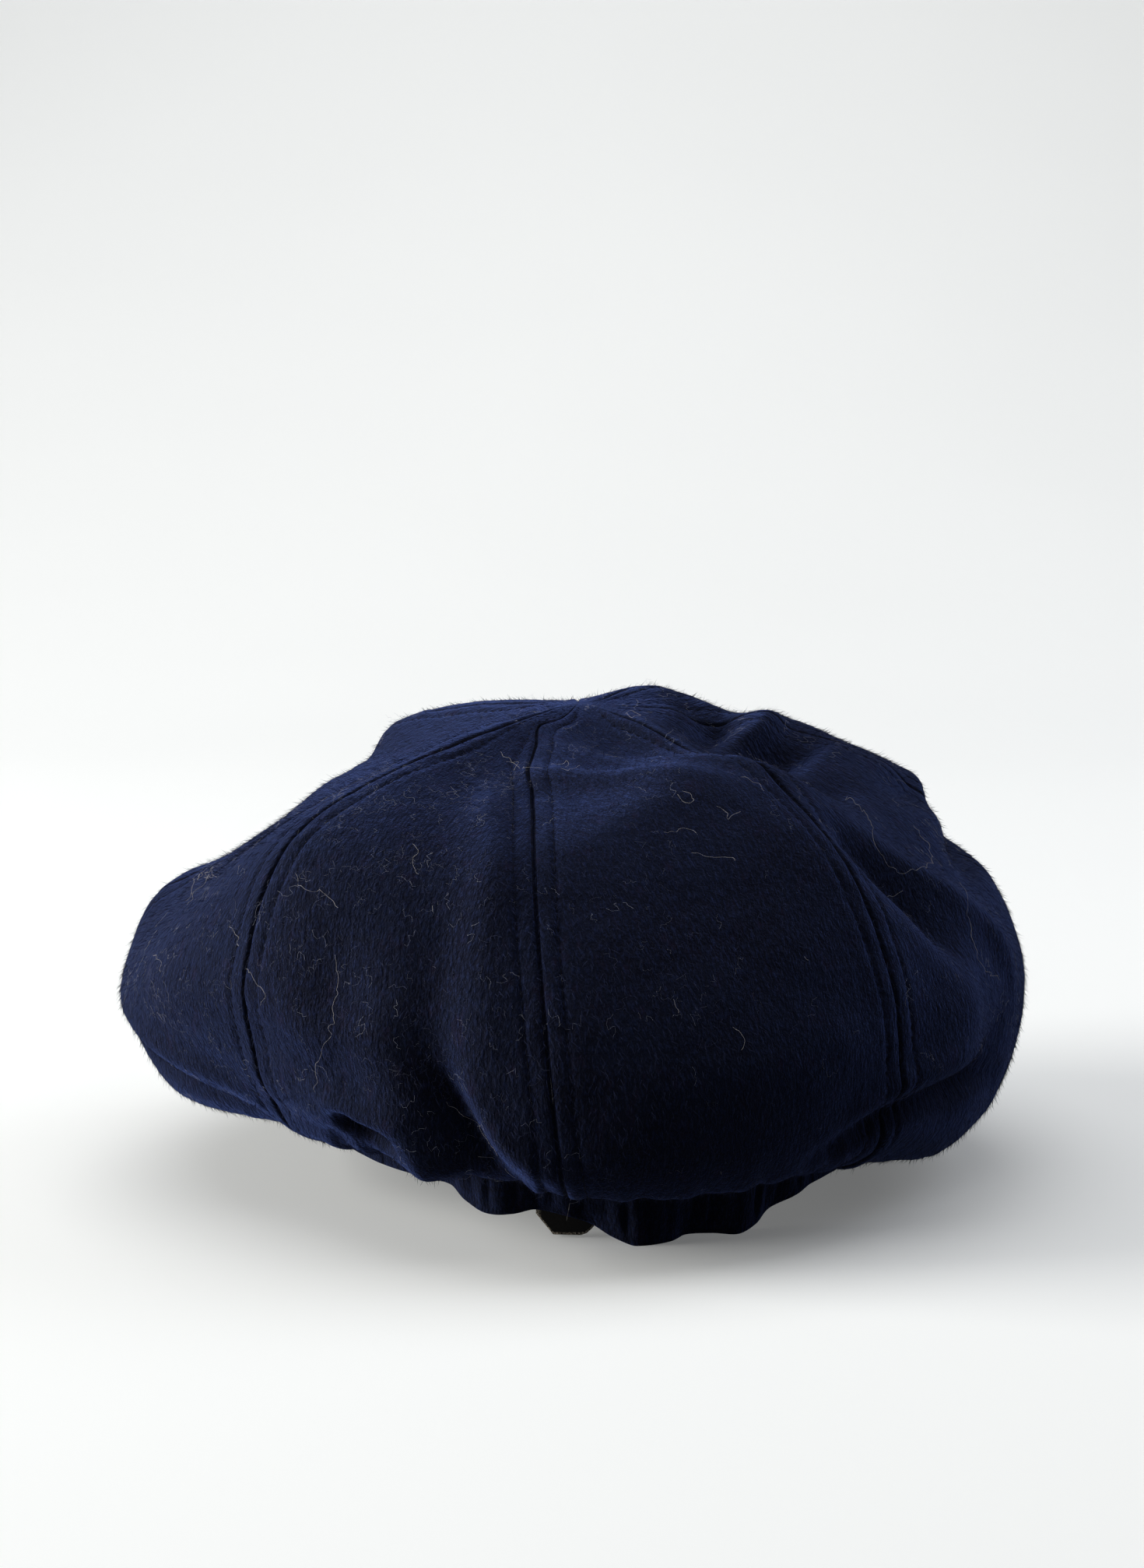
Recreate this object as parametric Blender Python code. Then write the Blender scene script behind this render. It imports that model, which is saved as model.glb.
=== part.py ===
"""Soft eight-panelled wool cap lying as put down: crown, band, gathered back, sweatband and peak.

+Y is forward, where the peak is, +X is the wearer's right and +Z is up. The cap lies on the lobes of
its gathered back edge and on the front of its peak. The origin is under the middle of the whole cap.
"""
import bpy
import bmesh
import numpy as np

# Driving dimensions, metres
CROWN_RADIUS = 0.142        # from the crown's axis to its fullest part
CROWN_HEIGHT = 0.146        # from the surface to the top of the crown
JUNCTION_X = 0.002          # where the eight seams meet, sideways
JUNCTION_DIP = 0.001        # how far that place lies under the top of the crown
JUNCTION_HOLE = 0.0025      # radius left open where the eight points meet
CLOTH = 0.0022              # napped wool wall of the crown
GAP = 0.0003                # clearance between pieces that touch

BAND_HALF_WIDTH = 0.086     # outer wall of the band, across
BAND_HALF_DEPTH = 0.094     # outer wall of the band, front to back
BAND_X = 0.004              # the band's middle, sideways
BAND_Z = 0.0125             # the band's lower edge at its middle, above the surface
BAND_LEAN = -0.068          # slope of the band's lower edge across: lower on the wearer's right
BAND_HEIGHT = 0.027
BAND_WALL = 0.003
BAND_ROUND = 0.0009         # rounding of the band's lower edge
JOINT_DROP = 0.0045         # how far under the band's top the crown's cloth meets it
GATHER_DEPTH = 0.0032       # how far a lobe of the gathered back swells out at its edge
CASING_BULGE = 0.0016       # how far the casing itself swells round its elastic

SWEATBAND_WALL = 0.0012
SWEATBAND_UP = 0.0015       # its lower edge above the band's
SWEATBAND_HEIGHT = 0.0245
SWEATBAND_END_Z = 0.0006    # lower edge of the end that shows at the centre back
SWEATBAND_CHAMFER = 0.006   # cut corner of that end

PEAK_LENGTH = 0.058         # forward from the band at its middle
PEAK_WALL = 0.0042
PEAK_ROOT_UP = 0.0005       # underside of the peak above the band's lower edge
PEAK_SIDE = 0.004           # reach of the peak at its two ends
PEAK_ARCH = 0.005           # how far the middle of the peak's front edge stands above its corners

# Angles, degrees from the centre back, positive toward the wearer's right
GATHER_FROM = -44.0
GATHER_TO = 52.0
SWEATBAND_FROM = -10.5
SWEATBAND_TO = 344.0
SWEATBAND_END = 19.0        # stretch over which the end rises from where it shows to its place inside
PEAK_HALF_ANGLE = 60.0      # along the band, each way from the centre front
PEAK_HALF_FAN = 40.0        # how far its side edges point outward
PEAK_CORNER_SHARE = 0.72    # share of the way across where the peak meets the surface

# Resolution
PANELS = 8
PANEL_COLUMNS = 10
PANEL_ROWS = 23
BAND_SECTIONS = 42
GATHER_SECTIONS = 41
SWEATBAND_SECTIONS = 59
PEAK_COLUMNS = 22
PEAK_ROWS = 5

# Profiles of the crown, each at an angle from the centre back. Columns that end in r are shares of
# CROWN_RADIUS, those in z shares of CROWN_HEIGHT, and tuck_out is a share of the way from the band's
# wall out to CROWN_RADIUS. The sway moves the profile sideways, as a share of CROWN_RADIUS.
# angle, crest_r, crest_z, shoulder_r, shoulder_z, wide_r, wide_z, low_r, low_z, tuck_out, tuck_z, sway
PROFILES = (
    (-178, 0.36, 0.950, 0.67, 0.83, 0.900, 0.54, 0.85, 0.330, 0.26, 0.25, 0.0),
    (-135, 0.39, 0.955, 0.63, 0.88, 0.920, 0.47, 0.87, 0.280, 0.29, 0.23, 0.0),
    (-100, 0.45, 0.820, 0.81, 0.64, 0.980, 0.43, 0.92, 0.230, 0.39, 0.17, 0.0),
    (-72, 0.46, 0.840, 0.82, 0.665, 0.985, 0.44, 0.91, 0.250, 0.38, 0.18, 0.0),
    (-45, 0.40, 0.945, 0.80, 0.80, 0.930, 0.54, 0.88, 0.320, 0.34, 0.21, 0.0),
    (-22, 0.40, 0.900, 0.73, 0.77, 0.930, 0.45, 0.88, 0.220, 0.30, 0.19, 0.0),
    (0, 0.40, 0.890, 0.71, 0.76, 0.940, 0.42, 0.89, 0.175, 0.29, 0.17, -0.08),
    (22, 0.33, 0.910, 0.58, 0.87, 0.940, 0.43, 0.89, 0.170, 0.30, 0.16, 0.0),
    (45, 0.40, 0.940, 0.74, 0.79, 0.930, 0.46, 0.89, 0.200, 0.34, 0.13, 0.0),
    (70, 0.38, 0.905, 0.71, 0.77, 0.950, 0.46, 0.91, 0.160, 0.41, 0.09, 0.0),
    (95, 0.42, 0.940, 0.76, 0.83, 1.000, 0.46, 0.96, 0.180, 0.465, 0.09, 0.0),
    (135, 0.30, 0.995, 0.63, 0.89, 0.940, 0.46, 0.88, 0.230, 0.29, 0.19, 0.0),
)
SWAY_SHARES = (0.0, 1.0, 1.0, 0.55, 0.15, 0.0)
JUNCTION_SHARES = (1.0, 0.8, 0.4, 0.0, 0.0, 0.0)

# Lower edge of the band all round: how far it swells out, a share of GATHER_DEPTH, and how far it
# hangs, a share of BAND_Z. A lobe that hangs past 1 is flattened on the surface.
# angle, out, hang
GATHERS = (
    (-58, 0.00, 0.00),
    (-44, 0.00, 0.13),
    (-36, -0.50, 0.26),
    (-28, -0.40, 0.43),
    (-20, 0.85, 0.73),
    (-12, -0.85, 0.35),
    (-4, 0.50, 0.58),
    (4, -0.85, 0.48),
    (12, 1.00, 1.06),
    (20, -0.85, 0.56),
    (28, 0.85, 0.75),
    (36, -0.65, 0.37),
    (44, 0.40, 0.28),
    (52, 0.00, 0.09),
    (66, 0.00, 0.00),
)

# Folds of the crown: a curved line through three places, each an angle and a share of the way down
# the profile, its reach to the side and its push along the cloth's normal, shares of CROWN_RADIUS.
# name, angle, down, angle, down, angle, down, reach, push
FOLDS = (
    ("break ridge", 6, 0.17, 30, 0.25, 56, 0.37, 0.070, 0.018),
    ("sunken top", 20, 0.11, 45, 0.20, 68, 0.25, 0.095, -0.028),
    ("front ridge", 150, 0.07, 118, 0.13, 94, 0.19, 0.060, 0.020),
    ("front ridge valley", 84, 0.15, 74, 0.16, 62, 0.15, 0.050, -0.026),
    ("small ridge", 66, 0.19, 80, 0.19, 99, 0.23, 0.045, 0.018),
    ("side pit", 66, 0.22, 76, 0.24, 86, 0.27, 0.055, -0.030),
    ("lower pit", 58, 0.31, 66, 0.33, 75, 0.34, 0.050, -0.022),
    ("side dent", 84, 0.38, 91, 0.41, 98, 0.44, 0.065, -0.034),
    ("right valley", 49, 0.42, 57, 0.52, 62, 0.61, 0.075, -0.045),
    ("bulge edge", 54, 0.55, 60, 0.66, 46, 0.79, 0.075, 0.028),
    ("side ridge", 68, 0.50, 74, 0.57, 84, 0.63, 0.055, 0.020),
    ("lower side fold", 72, 0.70, 64, 0.75, 56, 0.79, 0.055, -0.030),
    ("bulge valley", -18, 0.69, -14, 0.77, -9, 0.86, 0.060, -0.040),
    ("back bulge", -4, 0.78, 11, 0.81, 28, 0.80, 0.100, 0.020),
    ("left lower ridge", -45, 0.80, -34, 0.82, -25, 0.80, 0.060, 0.018),
    ("left pocket", -34, 0.87, -29, 0.87, -24, 0.89, 0.050, -0.030),
    ("pleat", -22, 0.79, -20, 0.85, -17, 0.92, 0.045, 0.022),
    ("left soft valley", -33, 0.58, -31, 0.67, -29, 0.76, 0.070, -0.018),
    ("middle soft valley", -18, 0.53, -17, 0.62, -16, 0.70, 0.060, -0.014),
    ("seam soft ridge", -11, 0.48, -10, 0.58, -8, 0.68, 0.060, 0.012),
    ("front left crease", -118, 0.30, -124, 0.45, -116, 0.62, 0.080, -0.030),
    ("front left roll", -146, 0.52, -150, 0.64, -164, 0.74, 0.080, 0.022),
    ("front right crease", 158, 0.34, 150, 0.48, 156, 0.64, 0.080, -0.028),
    ("front right roll", 120, 0.55, 128, 0.66, 140, 0.76, 0.080, 0.020),
)


def around(table, angle):
    """Every column of a table at these angles, by a smooth curve through its rows and round the circle."""
    at = np.array([row[0] for row in table], float)
    values = np.array([row[1:] for row in table], float)
    at = np.concatenate([at - 360.0, at, at + 360.0])
    values = np.concatenate([values, values, values])
    slope = np.zeros_like(values)
    slope[1:-1] = (values[2:] - values[:-2]) / (at[2:] - at[:-2])[:, None]
    angle = (np.asarray(angle, float) + 180.0) % 360.0 - 180.0
    i = np.clip(np.searchsorted(at, angle, side="right") - 1, 0, len(at) - 2)
    span = (at[i + 1] - at[i])[..., None]
    u = (angle - at[i])[..., None] / span
    return curve(u, span, values[i], slope[i], values[i + 1], slope[i + 1])


def curve(u, span, start, start_slope, end, end_slope):
    """Cubic between two points with a slope at each."""
    return ((2 * u**3 - 3 * u**2 + 1) * start + (u**3 - 2 * u**2 + u) * span * start_slope
            + (3 * u**2 - 2 * u**3) * end + (u**3 - u**2) * span * end_slope)


def band_point(angle, up, out):
    """A point by the band's outer wall: up from its lower edge and out from the wall, in metres."""
    angle, up, out = np.broadcast_arrays(np.asarray(angle, float), up, out)
    gather = around(GATHERS, angle)
    below = 1.0 - np.clip(up / BAND_HEIGHT, 0.0, 1.0)
    fade = np.clip((1.0 - up / (BAND_HEIGHT - JOINT_DROP)), 0.0, 1.0)
    out = out + GATHER_DEPTH * gather[..., 0] * fade
    a = np.radians(angle)
    x = BAND_X + (BAND_HALF_WIDTH + out) * np.sin(a)
    y = -(BAND_HALF_DEPTH + out) * np.cos(a)
    z = BAND_Z + BAND_LEAN * (x - BAND_X) + up - BAND_Z * gather[..., 1] * below
    return np.stack([x, y, z], -1)


def profile(angle):
    """The seven points that lead each profile from the junction down to the band."""
    row = around(PROFILES, angle)
    a = np.radians(angle)
    band = np.hypot(BAND_HALF_WIDTH * np.sin(a), BAND_HALF_DEPTH * np.cos(a))
    tuck = band + row[..., 8] * (CROWN_RADIUS - band)
    radii = [0.0 * a] + [row[..., j] * CROWN_RADIUS for j in (0, 2, 4, 6)] + [tuck]
    top = np.full_like(a, CROWN_HEIGHT - JUNCTION_DIP)
    heights = [top] + [row[..., j] * CROWN_HEIGHT for j in (1, 3, 5, 7, 9)]
    points = []
    for r, z, sway, lean in zip(radii, heights, SWAY_SHARES, JUNCTION_SHARES):
        side = row[..., 10] * CROWN_RADIUS * sway
        x = lean * JUNCTION_X + r * np.sin(a) + side * np.cos(a)
        y = -r * np.cos(a) + side * np.sin(a)
        points.append(np.stack([x, y, z], -1))
    points.append(band_point(angle, BAND_HEIGHT - JOINT_DROP, GAP))
    return np.stack(points, -2)


def crown_plain(angle, down):
    """The crown's outer face before its folds, down from 0 at the junction to 1 at the band."""
    angle, down = np.broadcast_arrays(np.asarray(angle, float), np.asarray(down, float))
    points = profile(angle)
    steps = np.linalg.norm(np.diff(points, axis=-2), axis=-1)
    knots = np.concatenate([np.zeros(angle.shape + (1,)), np.cumsum(steps, -1)], -1)
    knots = knots / knots[..., -1:]
    slopes = np.zeros_like(points)
    slopes[..., 1:-1, :] = ((points[..., 2:, :] - points[..., :-2, :])
                            / (knots[..., 2:] - knots[..., :-2])[..., None])
    slopes[..., 0, :] = (points[..., 1, :] - points[..., 0, :]) / knots[..., 1, None]
    slopes[..., 0, 2] = 0.0
    slopes[..., -1, :] = ((points[..., -1, :] - points[..., -2, :])
                          / (knots[..., -1] - knots[..., -2])[..., None])
    face = points[..., -1, :].copy()
    for j in range(6):
        start, end = knots[..., j], knots[..., j + 1]
        here = ((down >= start) & (down < end))[..., None]
        span = (end - start)[..., None]
        u = np.clip((down - start)[..., None] / span, 0.0, 1.0)
        piece = curve(u, span, points[..., j, :], slopes[..., j, :],
                      points[..., j + 1, :], slopes[..., j + 1, :])
        face = np.where(here, piece, face)
    return face


def normals(face, angle, down):
    """Outward unit normals of a face function, and the unit direction round the crown."""
    low = np.clip(down, 0.006, 0.998)
    ways = face(angle + 0.5, low) - face(angle - 0.5, low)
    falls = face(angle, np.clip(low + 0.004, 0.0, 0.9999)) - face(angle, low - 0.004)
    out = np.cross(falls, ways)
    out = out / np.maximum(np.linalg.norm(out, axis=-1, keepdims=True), 1e-12)
    return out, ways / np.maximum(np.linalg.norm(ways, axis=-1, keepdims=True), 1e-12)


def fold_push(points):
    """How far the folds push these points along the cloth's normal."""
    flat = points.reshape(-1, 3)
    push = np.zeros(len(flat))
    t = np.linspace(0.0, 1.0, 17)
    for name, a0, d0, a1, d1, a2, d2, reach, depth in FOLDS:
        weights = ((1 - t) * (1 - 2 * t), 4 * t * (1 - t), t * (2 * t - 1))
        angle = weights[0] * a0 + weights[1] * a1 + weights[2] * a2
        down = weights[0] * d0 + weights[1] * d1 + weights[2] * d2
        line = crown_plain(angle, down)
        fade = np.sin(np.pi * (0.06 + 0.88 * t)) ** 0.7
        apart = ((flat[:, None, :] - line[None]) ** 2).sum(-1)
        near = fade * np.exp(-apart / (reach * CROWN_RADIUS) ** 2)
        push += depth * CROWN_RADIUS * near.max(1)
    return push.reshape(points.shape[:-1])


def crown_face(angle, down):
    """The crown's outer face with its folds."""
    angle, down = np.broadcast_arrays(np.asarray(angle, float), np.asarray(down, float))
    plain = crown_plain(angle, down)
    out, _ = normals(crown_plain, angle, down)
    ends = np.clip((1.0 - down) / 0.13, 0.0, 1.0) * np.clip(down / 0.05, 0.0, 1.0)
    return plain + out * (fold_push(plain) * ends)[..., None]


def material(name, colour, roughness):
    """A plain Principled material."""
    made = bpy.data.materials.new(name)
    made.use_nodes = True
    shader = made.node_tree.nodes["Principled BSDF"]
    shader.inputs["Base Color"].default_value = (*colour, 1.0)
    shader.inputs["Roughness"].default_value = roughness
    return made


def body(name, vertices, faces, colour, roughness):
    """One object from vertices and faces, normals outward, smooth with sharp edges kept."""
    mesh = bpy.data.meshes.new(name)
    mesh.from_pydata([tuple(v) for v in vertices], [], faces)
    work = bmesh.new()
    work.from_mesh(mesh)
    bmesh.ops.recalc_face_normals(work, faces=work.faces)
    work.to_mesh(mesh)
    work.free()
    mesh.shade_smooth()
    mesh.set_sharp_from_angle(angle=np.radians(50.0))
    mesh.materials.append(material(name, colour, roughness))
    made = bpy.data.objects.new(name, mesh)
    bpy.context.collection.objects.link(made)
    return made


def shell(outer, inner):
    """Vertices and faces of a closed wall between two grids of the same size."""
    rows, columns = outer.shape[:2]
    vertices = np.concatenate([outer.reshape(-1, 3), inner.reshape(-1, 3)])
    half = rows * columns

    def at(i, j, side):
        return side * half + i * columns + j

    faces = []
    for i in range(rows - 1):
        for j in range(columns - 1):
            faces.append((at(i, j, 0), at(i, j + 1, 0), at(i + 1, j + 1, 0), at(i + 1, j, 0)))
            faces.append((at(i, j, 1), at(i + 1, j, 1), at(i + 1, j + 1, 1), at(i, j + 1, 1)))
    rim = [(0, j) for j in range(columns)] + [(i, columns - 1) for i in range(1, rows)]
    rim += [(rows - 1, j) for j in range(columns - 2, -1, -1)] + [(i, 0) for i in range(rows - 2, 0, -1)]
    for (i0, j0), (i1, j1) in zip(rim, rim[1:] + rim[:1]):
        if i1 < i0:
            faces.append((at(i0, j0, 0), at(i0, j0, 1), at(i1, j1, 0)))
            faces.append((at(i0, j0, 1), at(i1, j1, 1), at(i1, j1, 0)))
        else:
            faces.append((at(i0, j0, 0), at(i0, j0, 1), at(i1, j1, 1)))
            faces.append((at(i0, j0, 0), at(i1, j1, 1), at(i1, j1, 0)))
    return vertices, faces


def sweep(sections):
    """Vertices and faces of a closed bar through sections, each a loop of points, with capped ends."""
    count, points = sections.shape[:2]
    faces = [tuple(range(points)), tuple((count - 1) * points + k for k in range(points))]
    for i in range(count - 1):
        for k in range(points):
            n = (k + 1) % points
            faces.append((i * points + k, i * points + n, (i + 1) * points + n, (i + 1) * points + k))
    return sections.reshape(-1, 3), faces


def crown_panel(index):
    """One of the eight panels, two plies of surface with the cloth's wall between them."""
    span = 360.0 / PANELS
    start = -180.0 + span * index
    angle = np.linspace(start, start + span, PANEL_COLUMNS + 1)[None, :]
    top = JUNCTION_HOLE / np.linalg.norm(np.diff(profile(np.zeros(1))[0], axis=0), axis=1).sum()
    down = (top + (1.0 - top) * np.linspace(0.0, 1.0, PANEL_ROWS + 1) ** 0.93)[:, None]
    angle, down = np.broadcast_arrays(angle, down)
    outer = crown_face(angle, down)
    out, ways = normals(crown_face, angle, down)
    outer[:, 0] += ways[:, 0] * GAP / 2
    outer[:, -1] -= ways[:, -1] * GAP / 2
    inner = outer - out * CLOTH
    inner[-1] = band_point(angle[-1], BAND_HEIGHT - JOINT_DROP + CLOTH, GAP)
    inner[-1, 0] += ways[-1, 0] * GAP / 2
    inner[-1, -1] -= ways[-1, -1] * GAP / 2
    vertices, faces = shell(outer, inner)
    return body("crown_panel_%d" % (index + 1), vertices, faces, (0.020, 0.028, 0.060), 0.95)


def band():
    """The plain band round the front and sides."""
    clear = np.degrees(GAP / 2 / BAND_HALF_DEPTH)
    angle = np.linspace(GATHER_TO + clear, GATHER_FROM + 360.0 - clear, BAND_SECTIONS)[:, None]
    section = np.array([(0.0, BAND_ROUND), (0.0, BAND_HEIGHT), (-BAND_WALL, BAND_HEIGHT),
                        (-BAND_WALL, BAND_ROUND), (BAND_ROUND - BAND_WALL, 0.0), (-BAND_ROUND, 0.0)])
    vertices, faces = sweep(band_point(angle, section[None, :, 1], section[None, :, 0]))
    return body("band", vertices, faces, (0.018, 0.025, 0.055), 0.95)


def gathered_back():
    """The casing at the back, drawn up on its elastic so that its edge hangs in lobes."""
    clear = np.degrees(GAP / 2 / BAND_HALF_DEPTH)
    angle = np.linspace(GATHER_FROM + clear, GATHER_TO - clear, GATHER_SECTIONS)[:, None]
    outside = [(0.0, 1.0), (0.0, 0.77), (0.6, 0.50), (1.0, 0.22), (0.4, 0.03)]
    inside = [(0.35, 0.0), (0.75, 0.01), (1.0, 0.06), (1.0, 0.5), (1.0, 1.0)]
    section = [(out * CASING_BULGE, up * BAND_HEIGHT) for out, up in outside]
    section = np.array(section + [(-out * BAND_WALL, up * BAND_HEIGHT) for out, up in inside])
    ends = np.clip((angle - GATHER_FROM) / 6.0, 0.0, 1.0) * np.clip((GATHER_TO - angle) / 6.0, 0.0, 1.0)
    out = np.where(section[None, :, 0] > 0, section[None, :, 0] * ends, section[None, :, 0])
    points = band_point(angle, section[None, :, 1], out)
    points[..., 2] = np.maximum(points[..., 2], 0.0)
    vertices, faces = sweep(points)
    return body("gathered_back", vertices, faces, (0.018, 0.025, 0.055), 0.95)


def sweatband():
    """The leather strip inside the band. Its cut end hangs below the gathered edge at the centre back."""
    chamfer_angle = np.degrees(SWEATBAND_CHAMFER / BAND_HALF_DEPTH)
    plain = np.linspace(SWEATBAND_FROM + 2 * chamfer_angle, SWEATBAND_TO, SWEATBAND_SECTIONS)
    angle = np.concatenate([[SWEATBAND_FROM, SWEATBAND_FROM + chamfer_angle], plain])
    ends = (GATHERS[0][0], GATHERS[-1][0])
    turn = (angle + 180.0) % 360.0 - 180.0
    back = np.clip((turn - ends[0]) / 24.0, 0.0, 1.0) * np.clip((ends[1] - turn) / 24.0, 0.0, 1.0)
    back = back * back * (3.0 - 2.0 * back)
    shown = np.clip((SWEATBAND_FROM + SWEATBAND_END - angle) / (0.5 * SWEATBAND_END), 0.0, 1.0)
    chamfer = SWEATBAND_CHAMFER * np.clip(1.0 - (angle - SWEATBAND_FROM) / chamfer_angle, 0.0, 1.0)
    a = np.radians(angle)
    loops = []
    for wall in (0.0, SWEATBAND_WALL):
        out = -(BAND_WALL + GAP + back * GATHER_DEPTH + wall)
        x = BAND_X + (BAND_HALF_WIDTH + out) * np.sin(a)
        y = -(BAND_HALF_DEPTH + out) * np.cos(a)
        base = BAND_Z + BAND_LEAN * (x - BAND_X) + SWEATBAND_UP
        low = base + (SWEATBAND_END_Z - base) * shown + chamfer
        loops.append((np.stack([x, y, low], -1), np.stack([x, y, base + SWEATBAND_HEIGHT], -1)))
    (low_out, high_out), (low_in, high_in) = loops
    vertices, faces = sweep(np.stack([low_out, high_out, high_in, low_in], 1))
    return body("sweatband", vertices, faces, (0.012, 0.011, 0.011), 0.5)


def peak():
    """The stiffened peak in front, butted to the band's lower edge and sloping to the surface."""
    across = np.linspace(-1.0, 1.0, PEAK_COLUMNS + 1)
    angle = 180.0 + across * PEAK_HALF_ANGLE
    roots = band_point(angle, PEAK_ROOT_UP, GAP)
    reach = PEAK_SIDE + PEAK_LENGTH * np.sqrt(1.0 - across ** 2)
    rows = np.linspace(0.0, 1.0, PEAK_ROWS + 1)[:, None] ** 0.85
    fan = np.radians(180.0 + across * PEAK_HALF_FAN)
    toward = np.stack([np.sin(fan), -np.cos(fan), np.zeros_like(fan)], -1)
    under = roots[None] + toward[None] * (reach * rows)[..., None]
    corner = np.minimum(np.abs(across), PEAK_CORNER_SHARE)
    tip = PEAK_ARCH * (1.0 - (corner / PEAK_CORNER_SHARE) ** 2)
    slope = (roots[:, 2] - tip) / (PEAK_SIDE + PEAK_LENGTH * np.sqrt(1.0 - corner ** 2))
    swell = 0.25 * PEAK_ARCH * np.sin(np.pi * rows) * reach / reach.max()
    under[..., 2] = np.maximum(roots[:, 2] - slope * reach * rows + swell, 0.0)
    over = under.copy()
    over[..., 2] += PEAK_WALL * (1.0 - 0.35 * rows)
    over[0] = band_point(angle, PEAK_ROOT_UP + PEAK_WALL, GAP)
    vertices, faces = shell(over, under)
    return body("peak", vertices, faces, (0.018, 0.025, 0.055), 0.95)


def centre_on_origin(pieces):
    """Move every piece so that the origin is under the middle of the whole cap, at its lowest level."""
    points = np.array([v.co for piece in pieces for v in piece.data.vertices])
    low, high = points.min(0), points.max(0)
    shift = np.array([(low[0] + high[0]) / 2, (low[1] + high[1]) / 2, low[2]])
    for piece in pieces:
        for v in piece.data.vertices:
            v.co = v.co - type(v.co)(shift)
        piece.data.update()


def main():
    for old in list(bpy.data.objects):
        bpy.data.objects.remove(old, do_unlink=True)
    pieces = [crown_panel(index) for index in range(PANELS)]
    pieces += [band(), gathered_back(), sweatband(), peak()]
    centre_on_origin(pieces)


main()
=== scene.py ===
"""Looks of a soft eight-panelled wool cap: napped cloth, topstitched seams, gathered back, leather
sweatband, peak and lint."""

import functools

import bmesh
import bpy
import numpy as np
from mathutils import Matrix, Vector


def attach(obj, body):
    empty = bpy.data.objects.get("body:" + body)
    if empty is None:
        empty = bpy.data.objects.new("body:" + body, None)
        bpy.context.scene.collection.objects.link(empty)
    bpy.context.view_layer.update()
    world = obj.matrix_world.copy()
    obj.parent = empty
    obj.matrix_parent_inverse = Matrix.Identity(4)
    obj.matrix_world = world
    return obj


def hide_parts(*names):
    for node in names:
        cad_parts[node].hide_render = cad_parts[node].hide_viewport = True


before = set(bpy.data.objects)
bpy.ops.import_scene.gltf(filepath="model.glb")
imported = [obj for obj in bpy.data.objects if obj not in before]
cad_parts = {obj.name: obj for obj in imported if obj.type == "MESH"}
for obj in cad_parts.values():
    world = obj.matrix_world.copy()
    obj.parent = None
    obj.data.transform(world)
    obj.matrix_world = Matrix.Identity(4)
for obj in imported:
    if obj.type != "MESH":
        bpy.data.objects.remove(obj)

bl_info = {
    "name": "Baker boy cap",
    "version": (1, 0, 0),
    "blender": (4, 5, 0),
    "location": "View3D > Sidebar > Cap",
    "description": "Builds the cloth, stitching, nap, sweatband, peak and studio of a soft panelled wool cap",
    "category": "Object",
}

MM = 0.001

# The cap's cut, metres, as in the solid model. Its own middle stands at MIDDLE in the part's frame.
MIDDLE = np.array([-0.00115, -0.01038, 0.0])
CROWN_RADIUS = 0.142
CROWN_HEIGHT = 0.146
JUNCTION_X = 0.002
JUNCTION_DIP = 0.001
CLOTH = 0.0022
GAP = 0.0003
BAND_HALF_WIDTH = 0.086
BAND_HALF_DEPTH = 0.094
BAND_X = 0.004
BAND_Z = 0.0125
BAND_LEAN = -0.068
BAND_HEIGHT = 0.027
BAND_WALL = 0.003
JOINT_DROP = 0.0045
GATHER_DEPTH = 0.0032
CASING_BULGE = 0.0016
SWEATBAND_WALL = 0.0012
SWEATBAND_UP = 0.0015
SWEATBAND_HEIGHT = 0.0245
SWEATBAND_END_Z = 0.0006
SWEATBAND_CHAMFER = 0.006
PEAK_LENGTH = 0.058
PEAK_WALL = 0.0042
PEAK_ROOT_UP = 0.0005
PEAK_SIDE = 0.004
PEAK_ARCH = 0.005

# Angles, degrees from the centre back, positive toward the wearer's right
GATHER_FROM = -44.0
GATHER_TO = 52.0
SWEATBAND_FROM = -10.5
SWEATBAND_TO = 344.0
SWEATBAND_END = 19.0
PEAK_HALF_ANGLE = 60.0
PEAK_HALF_FAN = 40.0
PEAK_CORNER_SHARE = 0.72
PANELS = 8
PANEL_SPAN = 360.0 / PANELS

# How fine the meshes are
PANEL_ROWS = 236
PANEL_MIDDLE = 61
LINING_SKIP = 5
EDGE_PLACES = np.array([0.0, 0.35, 0.7, 1.1, 1.6, 2.4, 3.3, 4.2,
                        4.9, 5.4, 5.8, 6.3, 6.8, 7.5, 8.6, 10.0]) * MM
STITCH_PLACE = 10                   # which of those lies in the sunken line of topstitching
SEAM_COLUMNS = 2                    # how many strips of faces beside a seam lie down in it

# Cloth, stitches and hairs
NAP_RELIEF = 0.62 * MM
PRESSED_RELIEF = 0.3 * MM
STITCH_PITCH = 3.3 * MM
BAND_STITCHES_UP = 4.5 * MM
PEAK_STITCHES_IN = 5 * MM
NAP_THICKNESS = 0.055 * MM
NAP_STAND = 0.28                    # how upright the nap is, beside how far it is combed down
LINT_THICKNESS = 0.02 * MM
LINT_CURL = 7 * MM
LINT_SHAPES = 7
LINT_SHARES = (0.6, 0.7, 1.3, 1.1, 0.55, 0.8, 0.6, 0.5)     # how much of it each panel carries
STRAY_THICKNESS = 0.026 * MM
THREAD_END = ((0.2, -95.2, 17.0), (-1.6, -97.6, 8.0))       # a loose end of thread at the back, mm

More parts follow.
